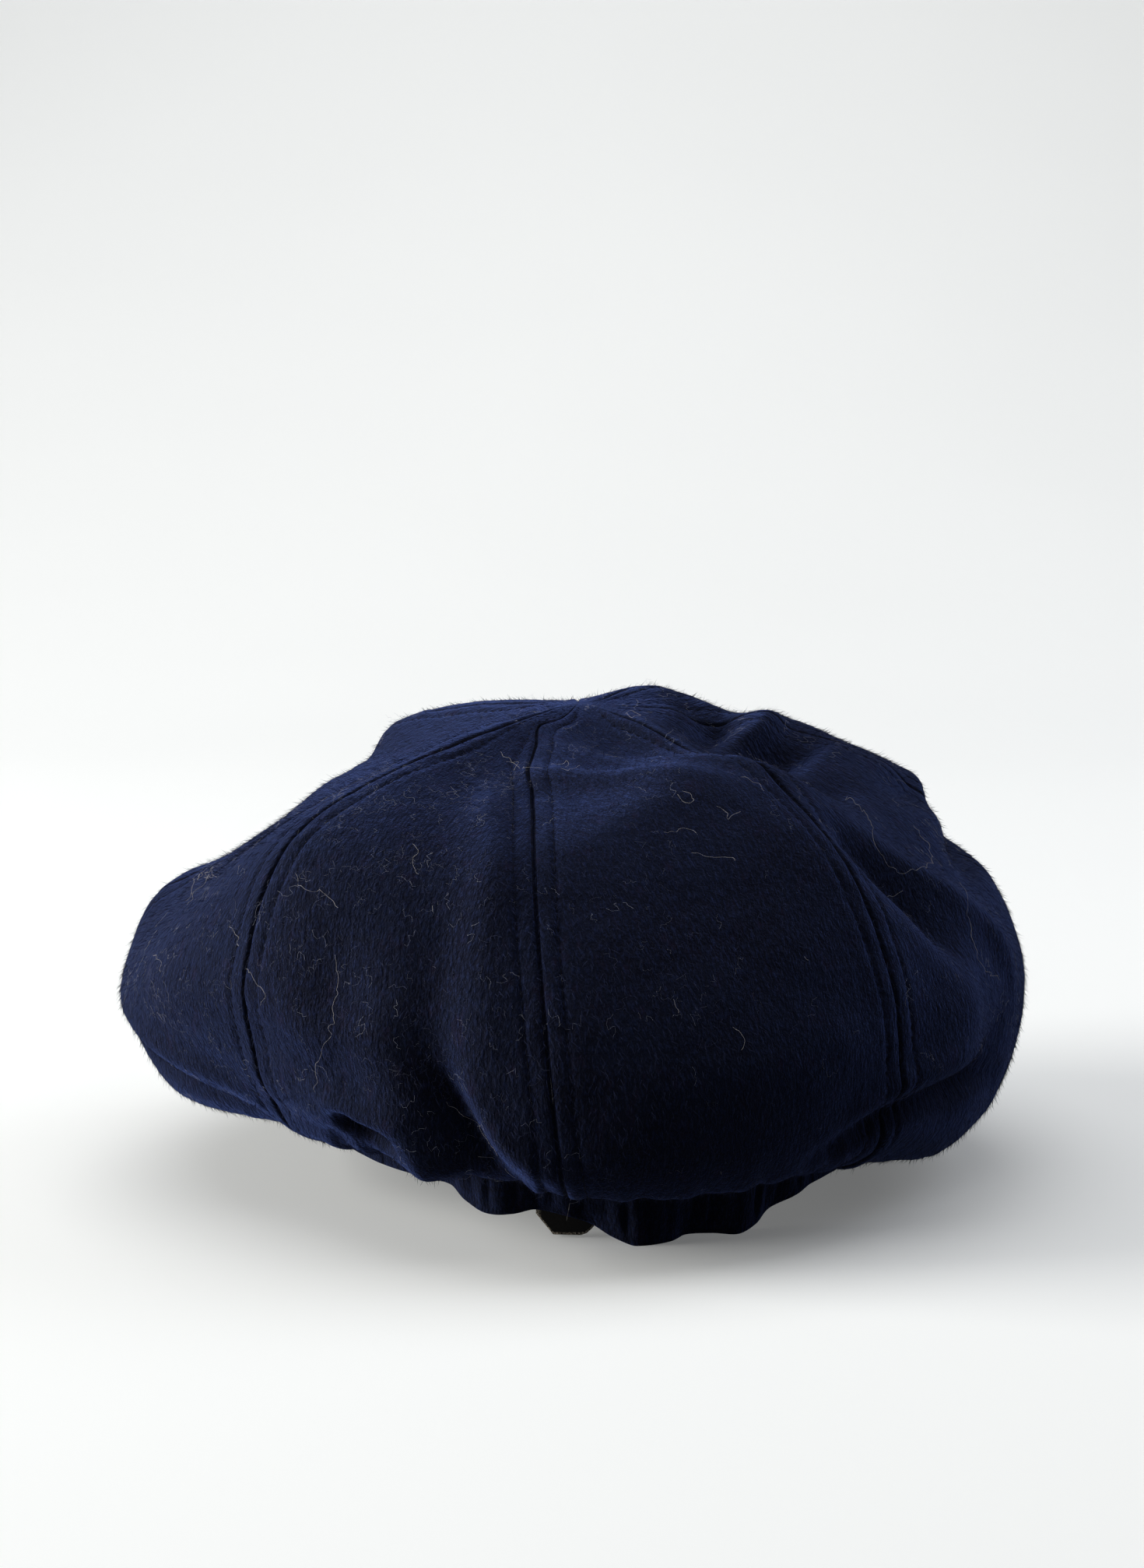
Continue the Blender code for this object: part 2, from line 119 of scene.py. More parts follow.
# Lights: name, place, what it points at, size, spread in degrees, power, colour
LIGHTS = (
    ("window", (-2.30, -0.15, 0.62), (0.0, 0.0, 0.06), 1.2, 140, 53.0, "#FFFDF8"),
    ("overhead", (-0.20, 0.10, 2.20), (0.0, 0.20, 0.00), 2.2, 180, 25.5, "#FFFFFF"),
    ("right fill", (1.40, 0.45, 1.25), (0.05, 0.0, 0.07), 1.2, 180, 8.5, "#F4F7FF"),
    ("backdrop", (0.0, 1.60, 2.40), (0.0, 2.90, 0.50), 2.0, 150, 13.0, "#FFFFFF"),
)

# Camera: behind the cap and a little above it
CAMERA_LENS = 70.0
CAMERA_SENSOR = 36.0
CAMERA_BACK = 0.94352
CAMERA_UP = 0.26255
CAMERA_TURN = 81.404                # degrees from looking straight down

# Profiles of the crown, shares of CROWN_RADIUS and CROWN_HEIGHT, as in the solid model
# angle, crest_r, crest_z, shoulder_r, shoulder_z, wide_r, wide_z, low_r, low_z, tuck_out, tuck_z, sway
PROFILES = (
    (-178, 0.36, 0.95, 0.67, 0.83, 0.9, 0.54, 0.85, 0.33, 0.26, 0.25, 0.0),
    (-135, 0.39, 0.955, 0.63, 0.88, 0.92, 0.47, 0.87, 0.28, 0.29, 0.23, 0.0),
    (-100, 0.45, 0.82, 0.81, 0.64, 0.98, 0.43, 0.92, 0.23, 0.39, 0.17, 0.0),
    (-72, 0.46, 0.84, 0.82, 0.665, 0.985, 0.44, 0.91, 0.25, 0.38, 0.18, 0.0),
    (-45, 0.4, 0.945, 0.8, 0.8, 0.93, 0.54, 0.88, 0.32, 0.34, 0.21, 0.0),
    (-22, 0.4, 0.9, 0.73, 0.77, 0.93, 0.45, 0.88, 0.22, 0.3, 0.19, 0.0),
    (0, 0.4, 0.89, 0.71, 0.76, 0.94, 0.42, 0.89, 0.175, 0.29, 0.17, -0.08),
    (22, 0.33, 0.91, 0.58, 0.87, 0.94, 0.43, 0.89, 0.17, 0.3, 0.16, 0.0),
    (45, 0.4, 0.94, 0.74, 0.79, 0.93, 0.46, 0.89, 0.2, 0.34, 0.13, 0.0),
    (70, 0.38, 0.905, 0.71, 0.77, 0.95, 0.46, 0.91, 0.16, 0.41, 0.09, 0.0),
    (95, 0.42, 0.94, 0.76, 0.83, 1.0, 0.46, 0.96, 0.18, 0.465, 0.09, 0.0),
    (135, 0.3, 0.995, 0.63, 0.89, 0.94, 0.46, 0.88, 0.23, 0.29, 0.19, 0.0),
)
SWAY_SHARES = (0.0, 1.0, 1.0, 0.55, 0.15, 0.0)
JUNCTION_SHARES = (1.0, 0.8, 0.4, 0.0, 0.0, 0.0)

# Lower edge of the band all round: how far it swells out and how far it hangs
# angle, out, hang
GATHERS = (
    (-58, 0.0, 0.0), (-44, 0.0, 0.05), (-36, -0.3, 0.08), (-28, -0.55, 0.1), (-24, 0.25, 0.33),
    (-19, 1.0, 0.5), (-14, 0.45, 0.46), (-10, -0.6, 0.36), (-4, -0.2, 0.4), (1, -0.6, 0.58), (5, 0.3, 0.8),
    (10, 1.1, 0.97), (16, 0.6, 0.96), (20, -0.6, 0.84), (25, 0.3, 0.76), (30, 1.0, 0.78), (35, 0.45, 0.66),
    (40, -0.55, 0.44), (45, 0.3, 0.2), (52, 0.0, 0.04), (66, 0.0, 0.0),
)

# How far seams turn aside on their way down, degrees: the seam, then pairs of a share down and a turn
SEAM_TURNS = {
    -45: ((0.0, 0.0), (0.06, 4.0), (0.14, 6.0), (0.24, 4.0), (0.36, 1.0), (0.5, 0.0)),
    90: ((0.0, 0.0), (0.1, 3.0), (0.25, 5.0), (0.5, 5.0), (0.65, 2.0), (0.8, 0.0)),
    0: ((0.0, 0.0), (0.045, -3.0), (0.07, -18.0), (0.1, -31.0),
        (0.14, -24.0), (0.2, -9.0), (0.28, -1.0), (0.34, 0.0)),
}

# Seams pressed flatter than the others, and how much of the relief they keep
SOFT_SEAMS = {90: 0.55, 135: 0.7}

# Folds: a curved line through three places, each an angle and a share of the way down the profile,
# its reach to the side and its push along the cloth's normal, shares of CROWN_RADIUS
FOLDS = (
    ("break ridge", 6, 0.17, 30, 0.25, 56, 0.37, 0.07, 0.018),
    ("sunken top", 20, 0.11, 45, 0.2, 68, 0.25, 0.095, -0.028),
    ("front ridge", 150, 0.07, 118, 0.13, 94, 0.19, 0.06, 0.02),
    ("front ridge valley", 84, 0.15, 74, 0.16, 62, 0.15, 0.05, -0.026),
    ("small ridge", 66, 0.19, 80, 0.19, 99, 0.23, 0.045, 0.018),
    ("side pit", 66, 0.22, 76, 0.24, 86, 0.27, 0.055, -0.03),
    ("lower pit", 58, 0.31, 66, 0.33, 75, 0.34, 0.05, -0.022),
    ("side dent", 84, 0.38, 91, 0.41, 98, 0.44, 0.065, -0.034),
    ("right valley", 49, 0.42, 57, 0.52, 62, 0.61, 0.075, -0.045),
    ("bulge edge", 54, 0.55, 60, 0.66, 46, 0.79, 0.075, 0.028),
    ("side ridge", 68, 0.5, 74, 0.57, 84, 0.63, 0.055, 0.02),
    ("lower side fold", 72, 0.7, 64, 0.75, 56, 0.79, 0.055, -0.03),
    ("bulge valley", -18, 0.69, -14, 0.77, -9, 0.86, 0.06, -0.04),
    ("back bulge", -4, 0.78, 11, 0.81, 28, 0.8, 0.1, 0.02),
    ("left lower ridge", -45, 0.8, -34, 0.82, -25, 0.8, 0.06, 0.018),
    ("left pocket", -34, 0.87, -29, 0.87, -24, 0.89, 0.05, -0.03),
    ("pleat", -22, 0.79, -20, 0.85, -17, 0.92, 0.045, 0.022),
    ("left soft valley", -33, 0.58, -31, 0.67, -29, 0.76, 0.07, -0.018),
    ("middle soft valley", -18, 0.53, -17, 0.62, -16, 0.7, 0.06, -0.014),
    ("seam soft ridge", -11, 0.48, -10, 0.58, -8, 0.68, 0.06, 0.012),
    ("front left crease", -118, 0.3, -124, 0.45, -116, 0.62, 0.08, -0.03),
    ("front left roll", -146, 0.52, -150, 0.64, -164, 0.74, 0.08, 0.022),
    ("front right crease", 158, 0.34, 150, 0.48, 156, 0.64, 0.08, -0.028),
    ("front right roll", 120, 0.55, 128, 0.66, 140, 0.76, 0.08, 0.02),
)

# Finer folds that the solid model leaves out
FINE_FOLDS = (
    ("left shoulder hollow", -102, 0.5, -111, 0.465, -124, 0.4, 0.09, -0.03),
    ("left shoulder step", -126, 0.44, -131, 0.43, -136, 0.43, 0.05, -0.026),
    ("left notch", -134, 0.4, -127, 0.385, -119, 0.37, 0.03, -0.034),
    ("left brow", -97, 0.52, -91, 0.56, -86, 0.6, 0.055, 0.026),
    ("left low swell", -80, 0.79, -72, 0.83, -56, 0.87, 0.06, 0.015),
    ("front right hollow", 142, 0.23, 131, 0.28, 118, 0.315, 0.08, -0.046),
    ("front dip", 124, 0.215, 117, 0.225, 108, 0.235, 0.04, -0.028),
    ("front ridge end", 120, 0.145, 109, 0.185, 101, 0.2, 0.036, -0.015),
    ("small ridge end", 92, 0.21, 99, 0.225, 106, 0.25, 0.04, 0.02),
    ("right shoulder", 116, 0.33, 107, 0.34, 98, 0.36, 0.06, -0.022),
    ("right corner", 106, 0.425, 100, 0.435, 94, 0.43, 0.036, 0.028),
    ("side dent floor", 114, 0.465, 99, 0.485, 82, 0.5, 0.066, -0.072),
    ("front ridge foot", 100, 0.17, 86, 0.17, 68, 0.17, 0.03, -0.022),
    ("small ridge back", 68, 0.215, 82, 0.21, 98, 0.24, 0.024, 0.014),
    ("pit floor", 68, 0.245, 77, 0.25, 85, 0.265, 0.03, -0.022),
    ("ridge by the pit", 76, 0.29, 84, 0.29, 92, 0.31, 0.026, 0.008),
    ("break ridge edge", 8, 0.165, 32, 0.255, 54, 0.36, 0.03, 0.012),
    ("right valley floor", 50, 0.43, 57, 0.52, 62, 0.6, 0.036, -0.022),
    ("right valley brow", 56, 0.42, 64, 0.49, 71, 0.55, 0.032, 0.012),
    ("side light ridge", 73, 0.56, 76, 0.62, 78, 0.68, 0.03, 0.008),
    ("bulge lip", -12, 0.73, -7, 0.79, 2, 0.83, 0.036, 0.022),
    ("bulge valley floor", -15, 0.72, -12, 0.79, -7, 0.87, 0.032, -0.026),
    ("lower side lip", 68, 0.72, 52, 0.735, 38, 0.8, 0.034, 0.014),
    ("lower side crease", 74, 0.755, 54, 0.775, 34, 0.84, 0.034, -0.042),
    ("right under swell", 78, 0.85, 68, 0.86, 58, 0.87, 0.045, 0.014),
    ("left belly", -42, 0.69, -33, 0.705, -25, 0.69, 0.06, 0.02),
    ("left pocket brow", -34, 0.787, -28, 0.797, -22, 0.79, 0.026, 0.014),
    ("left pocket hollow", -30, 0.82, -27.5, 0.83, -25, 0.83, 0.027, -0.125),
    ("seam upper ridge", -22, 0.29, -11, 0.41, -7, 0.52, 0.05, 0.02),
    ("break crest", -5, 0.245, 12, 0.262, 36, 0.345, 0.048, 0.026),
    ("dome flank", 108, 0.125, 94, 0.145, 84, 0.165, 0.04, -0.022),
    ("left pocket lip", -42, 0.868, -31, 0.872, -22, 0.875, 0.036, 0.022),
    ("left under swell", -56, 0.89, -41, 0.905, -27, 0.905, 0.06, 0.026),
    ("left edge fold", -78, 0.685, -61, 0.765, -45, 0.865, 0.034, 0.02),
    ("left edge crease", -79, 0.725, -65, 0.805, -50, 0.89, 0.03, -0.028),
)

# The long pale hairs that cling to the crown: the places each one lies over, an angle and a share down
STRAYS = (
    ((-84, 0.5), (-74, 0.52), (-66, 0.56)),
    ((-80, 0.49), (-72, 0.51), (-60, 0.53)),
    ((-70, 0.5), (-66, 0.53), (-64, 0.57)),
    ((-29, 0.22), (-22, 0.225), (-15, 0.24), (-8, 0.235), (-4, 0.25), (1, 0.24)),
    ((-24, 0.235), (-19, 0.22), (-17, 0.25)),
    ((3, 0.235), (5, 0.225), (7, 0.24), (6, 0.25)),
    ((5, 0.255), (7, 0.26), (9, 0.25)),
    ((-27, 0.455), (-25, 0.465), (-26, 0.48), (-24, 0.49)),
    ((-41, 0.545), (-38, 0.56), (-36, 0.555), (-33, 0.565)),
    ((-49, 0.61), (-47, 0.62), (-46, 0.635)),
    ((-45, 0.66), (-42, 0.67), (-40, 0.69), (-41, 0.7)),
    ((-65, 0.63), (-62, 0.64), (-61, 0.66)),
    ((-32, 0.615), (-31, 0.65), (-31.5, 0.67), (-30, 0.69), (-31, 0.72), (-33, 0.75), (-34, 0.79)),
    ((-20, 0.528), (-20, 0.535)),
    ((47, 0.083), (52, 0.08), (57, 0.09), (54, 0.1), (48, 0.1), (46, 0.088), (50, 0.08)),
    ((27, 0.375), (29, 0.385), (28, 0.4), (31, 0.39)),
    ((22, 0.345), (24, 0.35), (24, 0.365), (22, 0.365), (21, 0.35)),
    ((17, 0.4), (19, 0.41), (21, 0.4), (22, 0.415)),
    ((36, 0.335), (38, 0.345), (40, 0.35), (39, 0.365)),
    ((20, 0.435), (22, 0.44), (24, 0.445), (26, 0.45), (26, 0.46)),
    ((71, 0.35), (67, 0.37), (62, 0.405), (57, 0.445), (58, 0.47), (61, 0.49), (64, 0.49)),
    ((75, 0.43), (74, 0.46), (71, 0.48), (67, 0.49), (62, 0.49)),
    ((70, 0.515), (69, 0.55), (66.5, 0.59), (66, 0.62), (68, 0.63), (71, 0.64)),
    ((56, 0.505), (58, 0.515), (60, 0.51)),
    ((32, 0.588), (32.5, 0.593)),
    ((18, 0.818), (18, 0.825)),
    ((14, 0.615), (14.5, 0.625), (14, 0.635)),
    ((20, 0.655), (21, 0.67), (20.5, 0.69)),
    ((-16, 0.765), (-14, 0.78), (-12, 0.785), (-10, 0.8), (-8, 0.805)),
    ((-12, 0.83), (-9, 0.84), (-7, 0.86)),
)


def around(table, angle):
    """Every column of a table at these angles, by a smooth curve through its rows and round the circle."""
    at = np.array([row[0] for row in table], float)
    values = np.array([row[1:] for row in table], float)
    at = np.concatenate([at - 360.0, at, at + 360.0])
    values = np.concatenate([values, values, values])
    slope = np.zeros_like(values)
    slope[1:-1] = (values[2:] - values[:-2]) / (at[2:] - at[:-2])[:, None]
    angle = (np.asarray(angle, float) + 180.0) % 360.0 - 180.0
    i = np.clip(np.searchsorted(at, angle, side="right") - 1, 0, len(at) - 2)
    span = (at[i + 1] - at[i])[..., None]
    u = (angle - at[i])[..., None] / span
    return curve(u, span, values[i], slope[i], values[i + 1], slope[i + 1])


def curve(u, span, start, start_slope, end, end_slope):
    """Cubic between two points with a slope at each."""
    return ((2 * u**3 - 3 * u**2 + 1) * start + (u**3 - 2 * u**2 + u) * span * start_slope
            + (3 * u**2 - 2 * u**3) * end + (u**3 - u**2) * span * end_slope)


def ease(value, start, end):
    """0 before start, 1 after end and smooth between."""
    u = np.clip((value - start) / (end - start), 0.0, 1.0)
    return u * u * (3.0 - 2.0 * u)


def hump(distance, reach):
    """1 at no distance, falling smoothly to 0 beyond the reach."""
    return np.exp(-(distance / reach) ** 2)


def unit(vectors):
    """These vectors with their lengths made 1."""
    return vectors / np.maximum(np.linalg.norm(vectors, axis=-1, keepdims=True), 1e-15)


def unevenness(points, size, seed):
    """Smooth random field between -1 and 1, with features of this size."""
    cells = np.asarray(points) / size
    low = np.floor(cells).astype(np.int64)
    share = cells - low
    share = share * share * (3.0 - 2.0 * share)
    total = np.zeros(cells.shape[:-1])
    for corner in np.ndindex(2, 2, 2):
        at = low + np.array(corner)
        key = at[..., 0] * 73856093 ^ at[..., 1] * 19349663 ^ at[..., 2] * 83492791 ^ seed * 26544357
        key = (key ^ (key >> 13)) * 1274126177 & 0x7FFFFFFF
        value = ((key ^ (key >> 15)) & 0xFFFF) / 32767.5 - 1.0
        total += value * np.prod(np.where(corner, share, 1.0 - share), -1)
    return total


def band_point(angle, up, out):
    """A point by the band's outer wall: up from its lower edge and out from the wall, in metres."""
    angle, up, out = np.broadcast_arrays(np.asarray(angle, float), up, out)
    gather = around(GATHERS, angle)
    below = 1.0 - np.clip(up / BAND_HEIGHT, 0.0, 1.0)
    fade = np.clip((1.0 - up / (BAND_HEIGHT - JOINT_DROP)), 0.0, 1.0)
    out = out + GATHER_DEPTH * gather[..., 0] * fade
    a = np.radians(angle)
    x = BAND_X + (BAND_HALF_WIDTH + out) * np.sin(a)
    y = -(BAND_HALF_DEPTH + out) * np.cos(a)
    z = BAND_Z + BAND_LEAN * (x - BAND_X) + up - BAND_Z * gather[..., 1] * below
    return np.stack([x, y, z], -1)


def profile(angle):
    """The seven points that lead each profile from the junction down to the band."""
    row = around(PROFILES, angle)
    a = np.radians(angle)
    band = np.hypot(BAND_HALF_WIDTH * np.sin(a), BAND_HALF_DEPTH * np.cos(a))
    tuck = band + row[..., 8] * (CROWN_RADIUS - band)
    radii = [0.0 * a] + [row[..., j] * CROWN_RADIUS for j in (0, 2, 4, 6)] + [tuck]
    top = np.full_like(a, CROWN_HEIGHT - JUNCTION_DIP)
    heights = [top] + [row[..., j] * CROWN_HEIGHT for j in (1, 3, 5, 7, 9)]
    points = []
    for r, z, sway, lean in zip(radii, heights, SWAY_SHARES, JUNCTION_SHARES):
        side = row[..., 10] * CROWN_RADIUS * sway
        x = lean * JUNCTION_X + r * np.sin(a) + side * np.cos(a)
        y = -r * np.cos(a) + side * np.sin(a)
        points.append(np.stack([x, y, z], -1))
    points.append(band_point(angle, BAND_HEIGHT - JOINT_DROP, GAP))
    return np.stack(points, -2)


def crown_plain(angle, down):
    """The crown's outer face before its folds, down from 0 at the junction to 1 at the band."""
    angle, down = np.broadcast_arrays(np.asarray(angle, float), np.asarray(down, float))
    points = profile(angle)
    steps = np.linalg.norm(np.diff(points, axis=-2), axis=-1)
    knots = np.concatenate([np.zeros(angle.shape + (1,)), np.cumsum(steps, -1)], -1)
    knots = knots / knots[..., -1:]
    slopes = np.zeros_like(points)
    slopes[..., 1:-1, :] = ((points[..., 2:, :] - points[..., :-2, :])
                            / (knots[..., 2:] - knots[..., :-2])[..., None])
    slopes[..., 0, :] = (points[..., 1, :] - points[..., 0, :]) / knots[..., 1, None]
    slopes[..., 0, 2] = 0.0
    slopes[..., -1, :] = ((points[..., -1, :] - points[..., -2, :])
                          / (knots[..., -1] - knots[..., -2])[..., None])
    face = points[..., -1, :].copy()
    for j in range(6):
        start, end = knots[..., j], knots[..., j + 1]
        here = ((down >= start) & (down < end))[..., None]
        span = (end - start)[..., None]
        u = np.clip((down - start)[..., None] / span, 0.0, 1.0)
        piece = curve(u, span, points[..., j, :], slopes[..., j, :],
                      points[..., j + 1, :], slopes[..., j + 1, :])
        face = np.where(here, piece, face)
    return face


def plain_normals(angle, down):
    """Outward unit normals of the crown before its folds."""
    low = np.clip(down, 0.006, 0.998)
    ways = crown_plain(angle + 0.5, low) - crown_plain(angle - 0.5, low)
    falls = crown_plain(angle, np.clip(low + 0.004, 0.0, 0.9999)) - crown_plain(angle, low - 0.004)
    return unit(np.cross(falls, ways))


def fold_push(points):
    """How far the folds push these points along the cloth's normal."""
    flat = points.reshape(-1, 3)
    push = np.zeros(len(flat))
    t = np.linspace(0.0, 1.0, 25)
    for name, a0, d0, a1, d1, a2, d2, reach, depth in FOLDS + FINE_FOLDS:
        weights = ((1 - t) * (1 - 2 * t), 4 * t * (1 - t), t * (2 * t - 1))
        angle = weights[0] * a0 + weights[1] * a1 + weights[2] * a2
        down = weights[0] * d0 + weights[1] * d1 + weights[2] * d2
        line = crown_plain(angle, down)
        fade = np.sin(np.pi * (0.06 + 0.88 * t)) ** 0.7
        reach = reach * CROWN_RADIUS
        near = np.flatnonzero(((flat[:, None] - line[None, ::6]) ** 2).sum(-1).min(1) < (4.0 * reach) ** 2)
        apart = ((flat[near, None, :] - line[None]) ** 2).sum(-1)
        push[near] += depth * CROWN_RADIUS * (fade * np.exp(-apart / reach ** 2)).max(1)
    return push.reshape(points.shape[:-1])


def crown_face(angle, down):
    """The crown's outer face with its folds, the soft unevenness of the cloth and the gathers at the band."""
    angle, down = np.broadcast_arrays(np.asarray(angle, float), np.asarray(down, float))
    plain = crown_plain(angle, down)
    ends = np.clip((1.0 - down) / 0.13, 0.0, 1.0) * np.clip(down / 0.05, 0.0, 1.0)
    push = fold_push(plain) * ends
    rough = 0.75 * unevenness(plain, 34 * MM, 3) + 0.40 * unevenness(plain, 15 * MM, 5)
    rough += 0.16 * unevenness(plain, 6 * MM, 7)
    push += rough * MM * np.clip((1.0 - down) / 0.06, 0.0, 1.0)
    back = ease(angle, GATHER_FROM - 6.0, GATHER_FROM + 8.0) * ease(-angle, -GATHER_TO - 6.0, 8.0 - GATHER_TO)
    draw = ease(down, 0.78, 0.97) * np.clip((1.0 - down) / 0.012, 0.0, 1.0)
    turn = np.radians(angle)
    pleats = np.sin(56.0 * turn + 1.4 * np.sin(11.0 * turn)) + 0.5 * np.sin(93.0 * turn + 2.0)
    push += 0.9 * MM * pleats * draw * (0.25 + 0.75 * back)
    return plain + plain_normals(angle, down) * push[..., None]


def seam_relief(side, along, width, seam):
    """How the sewn seam lifts and sinks the cloth, at a distance to the side of it and along it."""
    size = np.clip(width / (20 * MM), 0.0, 1.0) ** 1.5 * SOFT_SEAMS.get(seam, 1.0)
    phase = 0.04 * seam
    stitch = EDGE_PLACES[STITCH_PLACE] * np.clip(width / (24 * MM), 0.05, 1.0)
    wander = 0.6 * np.sin(along / (9 * MM) + phase) + 0.5 * np.sin(along / (21 * MM) + 2.3 * phase)
    pull = 0.72 + 0.28 * np.cos(2.0 * np.pi / STITCH_PITCH * along + phase)
    uneven = unevenness(np.stack([along + 0.0 * side, side + phase, 0.0 * side + phase], -1), 4.5 * MM, 61)
    lift = -1.25 * hump(side, 0.58 * MM) * (1.0 + 0.2 * wander)
    lift += 0.26 * hump(side - 0.5 * stitch, 0.42 * stitch) * (1.0 + 0.6 * uneven)
    lift -= 0.58 * hump(side - stitch, 0.85 * MM) * pull * (1.0 + 0.5 * uneven)
    lift += 0.14 * hump(side - stitch - 2.2 * MM, 1.8 * MM)
    lift += 0.16 * uneven * hump(side - 0.6 * stitch, 5 * MM)
    return lift * MM * size


def panel_seams(index):
    """Angles at which the two seams beside a panel start."""
    first = -180 + int(PANEL_SPAN) * index
    return first, first + int(PANEL_SPAN)


def seam_angle(seam, down):
    """Angle of one seam at each level."""
    turns = np.array(SEAM_TURNS.get(seam, ((0.0, 0.0), (1.0, 0.0))))
    shifts = (-0.012, -0.006, 0.0, 0.006, 0.012)
    soft = [np.interp(down + shift, turns[:, 0], turns[:, 1]) for shift in shifts]
    return seam + np.mean(soft, axis=0)


def panel_sides(index, down):
    """Angles across one panel at each level, with the distance of each from the panel's first seam."""
    start, end = (seam_angle(seam, down)[:, None] for seam in panel_seams(index))
    share = np.concatenate([[-0.06], np.linspace(0.0, 1.0, 15), [1.06]])[None, :]
    angle = start + (end - start) * share
    steps = np.linalg.norm(np.diff(crown_plain(angle, down[:, None]), axis=1), axis=-1)
    far = np.concatenate([np.zeros((len(down), 1)), np.cumsum(steps, 1)], 1)
    return angle, far - far[:, 1:2]


@functools.lru_cache(maxsize=None)
def panel_grid(index):
    """Outer face of one panel as a grid, with its inside, its normals, the way down it and its cloth map."""
    down = np.linspace(0.0003, 1.0, PANEL_ROWS)
    angles, far = panel_sides(index, down)
    width = far[:, -2:-1]
    shrink = np.clip(width / (26 * MM), 0.0, 1.0)
    edge = EDGE_PLACES[None, :] * shrink
    middle = np.linspace(0.0, 1.0, PANEL_MIDDLE + 2)[None, 1:-1]
    middle = edge[:, -1:] + middle * (width - 2.0 * edge[:, -1:])
    pad = 0.5 * MM * shrink
    place = np.concatenate([-pad, edge, middle, width - edge[:, ::-1], width + pad], 1)
    angle = np.stack([np.interp(p, f, a) for p, f, a in zip(place, far, angles)])
    face = crown_face(angle, down[:, None])
    falls = np.gradient(face, axis=0)[:, 1:-1]
    out = unit(np.cross(falls, face[:, 2:] - face[:, :-2]))
    out[:3] = out[3:4]
    face, place = face[:, 1:-1], place[:, 1:-1]
    length = np.linalg.norm(np.diff(crown_plain(angles[:, 8], down), axis=0), axis=1).sum()
    along = down[:, None] * length + 0.0 * place
    sides = place, width - place
    first, last = (seam_relief(np.minimum(side, 0.5 * width), along, width, seam)
                   for side, seam in zip(sides, panel_seams(index)))
    relief = np.where(sides[0] < sides[1], first, last)
    hem = ease(down, 0.93, 1.0)[:, None]
    outer = face + out * (relief * (1.0 - hem))[..., None]
    inner = face - out * (CLOTH + 0.3 * MM * (1.0 - hem))[..., None]
    inner[-1] = band_point(angle[-1, 1:-1], BAND_HEIGHT - JOINT_DROP + CLOTH, GAP)
    cloth_map = np.stack([place - 0.5 * width + 0.3 * index, along], -1)
    return outer + MIDDLE, inner + MIDDLE, out, unit(falls), cloth_map


def linear(code):
    """An sRGB hex colour as the linear values that a shader takes."""
    values = []
    for start in (1, 3, 5):
        share = int(code[start:start + 2], 16) / 255.0
        values.append(share / 12.92 if share <= 0.04045 else ((share + 0.055) / 1.055) ** 2.4)
    return (*values, 1.0)


def give(tree, node, values):
    """Give a node's inputs their values or links."""
    for name, value in values.items():
        if isinstance(value, bpy.types.NodeSocket):
            tree.links.new(value, node.inputs[name])
        else:
            node.inputs[name].default_value = value


def add(tree, kind, inputs=None, output=0, **settings):
    """Add one node with its properties and inputs, and return one of its outputs."""
    made = tree.nodes.new(kind)
    for name, value in settings.items():
        setattr(made, name, value)
    give(tree, made, inputs or {})
    return made.outputs[output]


def noise(tree, place, scale, detail, stretch=(1.0, 1.0, 1.0)):
    """Noise with this many features to a metre, drawn out by these shares."""
    spread = add(tree, "ShaderNodeMapping", {"Vector": place, "Scale": stretch})
    return add(tree, "ShaderNodeTexNoise",
               {"Vector": spread, "Scale": scale, "Detail": detail, "Roughness": 0.6}, "Fac")


def spread_range(tree, value, low, high, start=0.0, end=1.0):
    """A value stretched from one range to another, held within it."""
    return add(tree, "ShaderNodeMapRange",
               {"Value": value, "From Min": low, "From Max": high, "To Min": start, "To Max": end},
               "Result", interpolation_type="SMOOTHSTEP")


def blend(tree, share, one, other):
    """Two colours mixed by a share."""
    return add(tree, "ShaderNodeMix", {0: share, 6: one, 7: other}, 2, data_type="RGBA", blend_type="MIX")


def bumped(tree, height, distance, strength):
    """A normal bent by a height."""
    return add(tree, "ShaderNodeBump", {"Strength": strength, "Distance": distance, "Height": height})


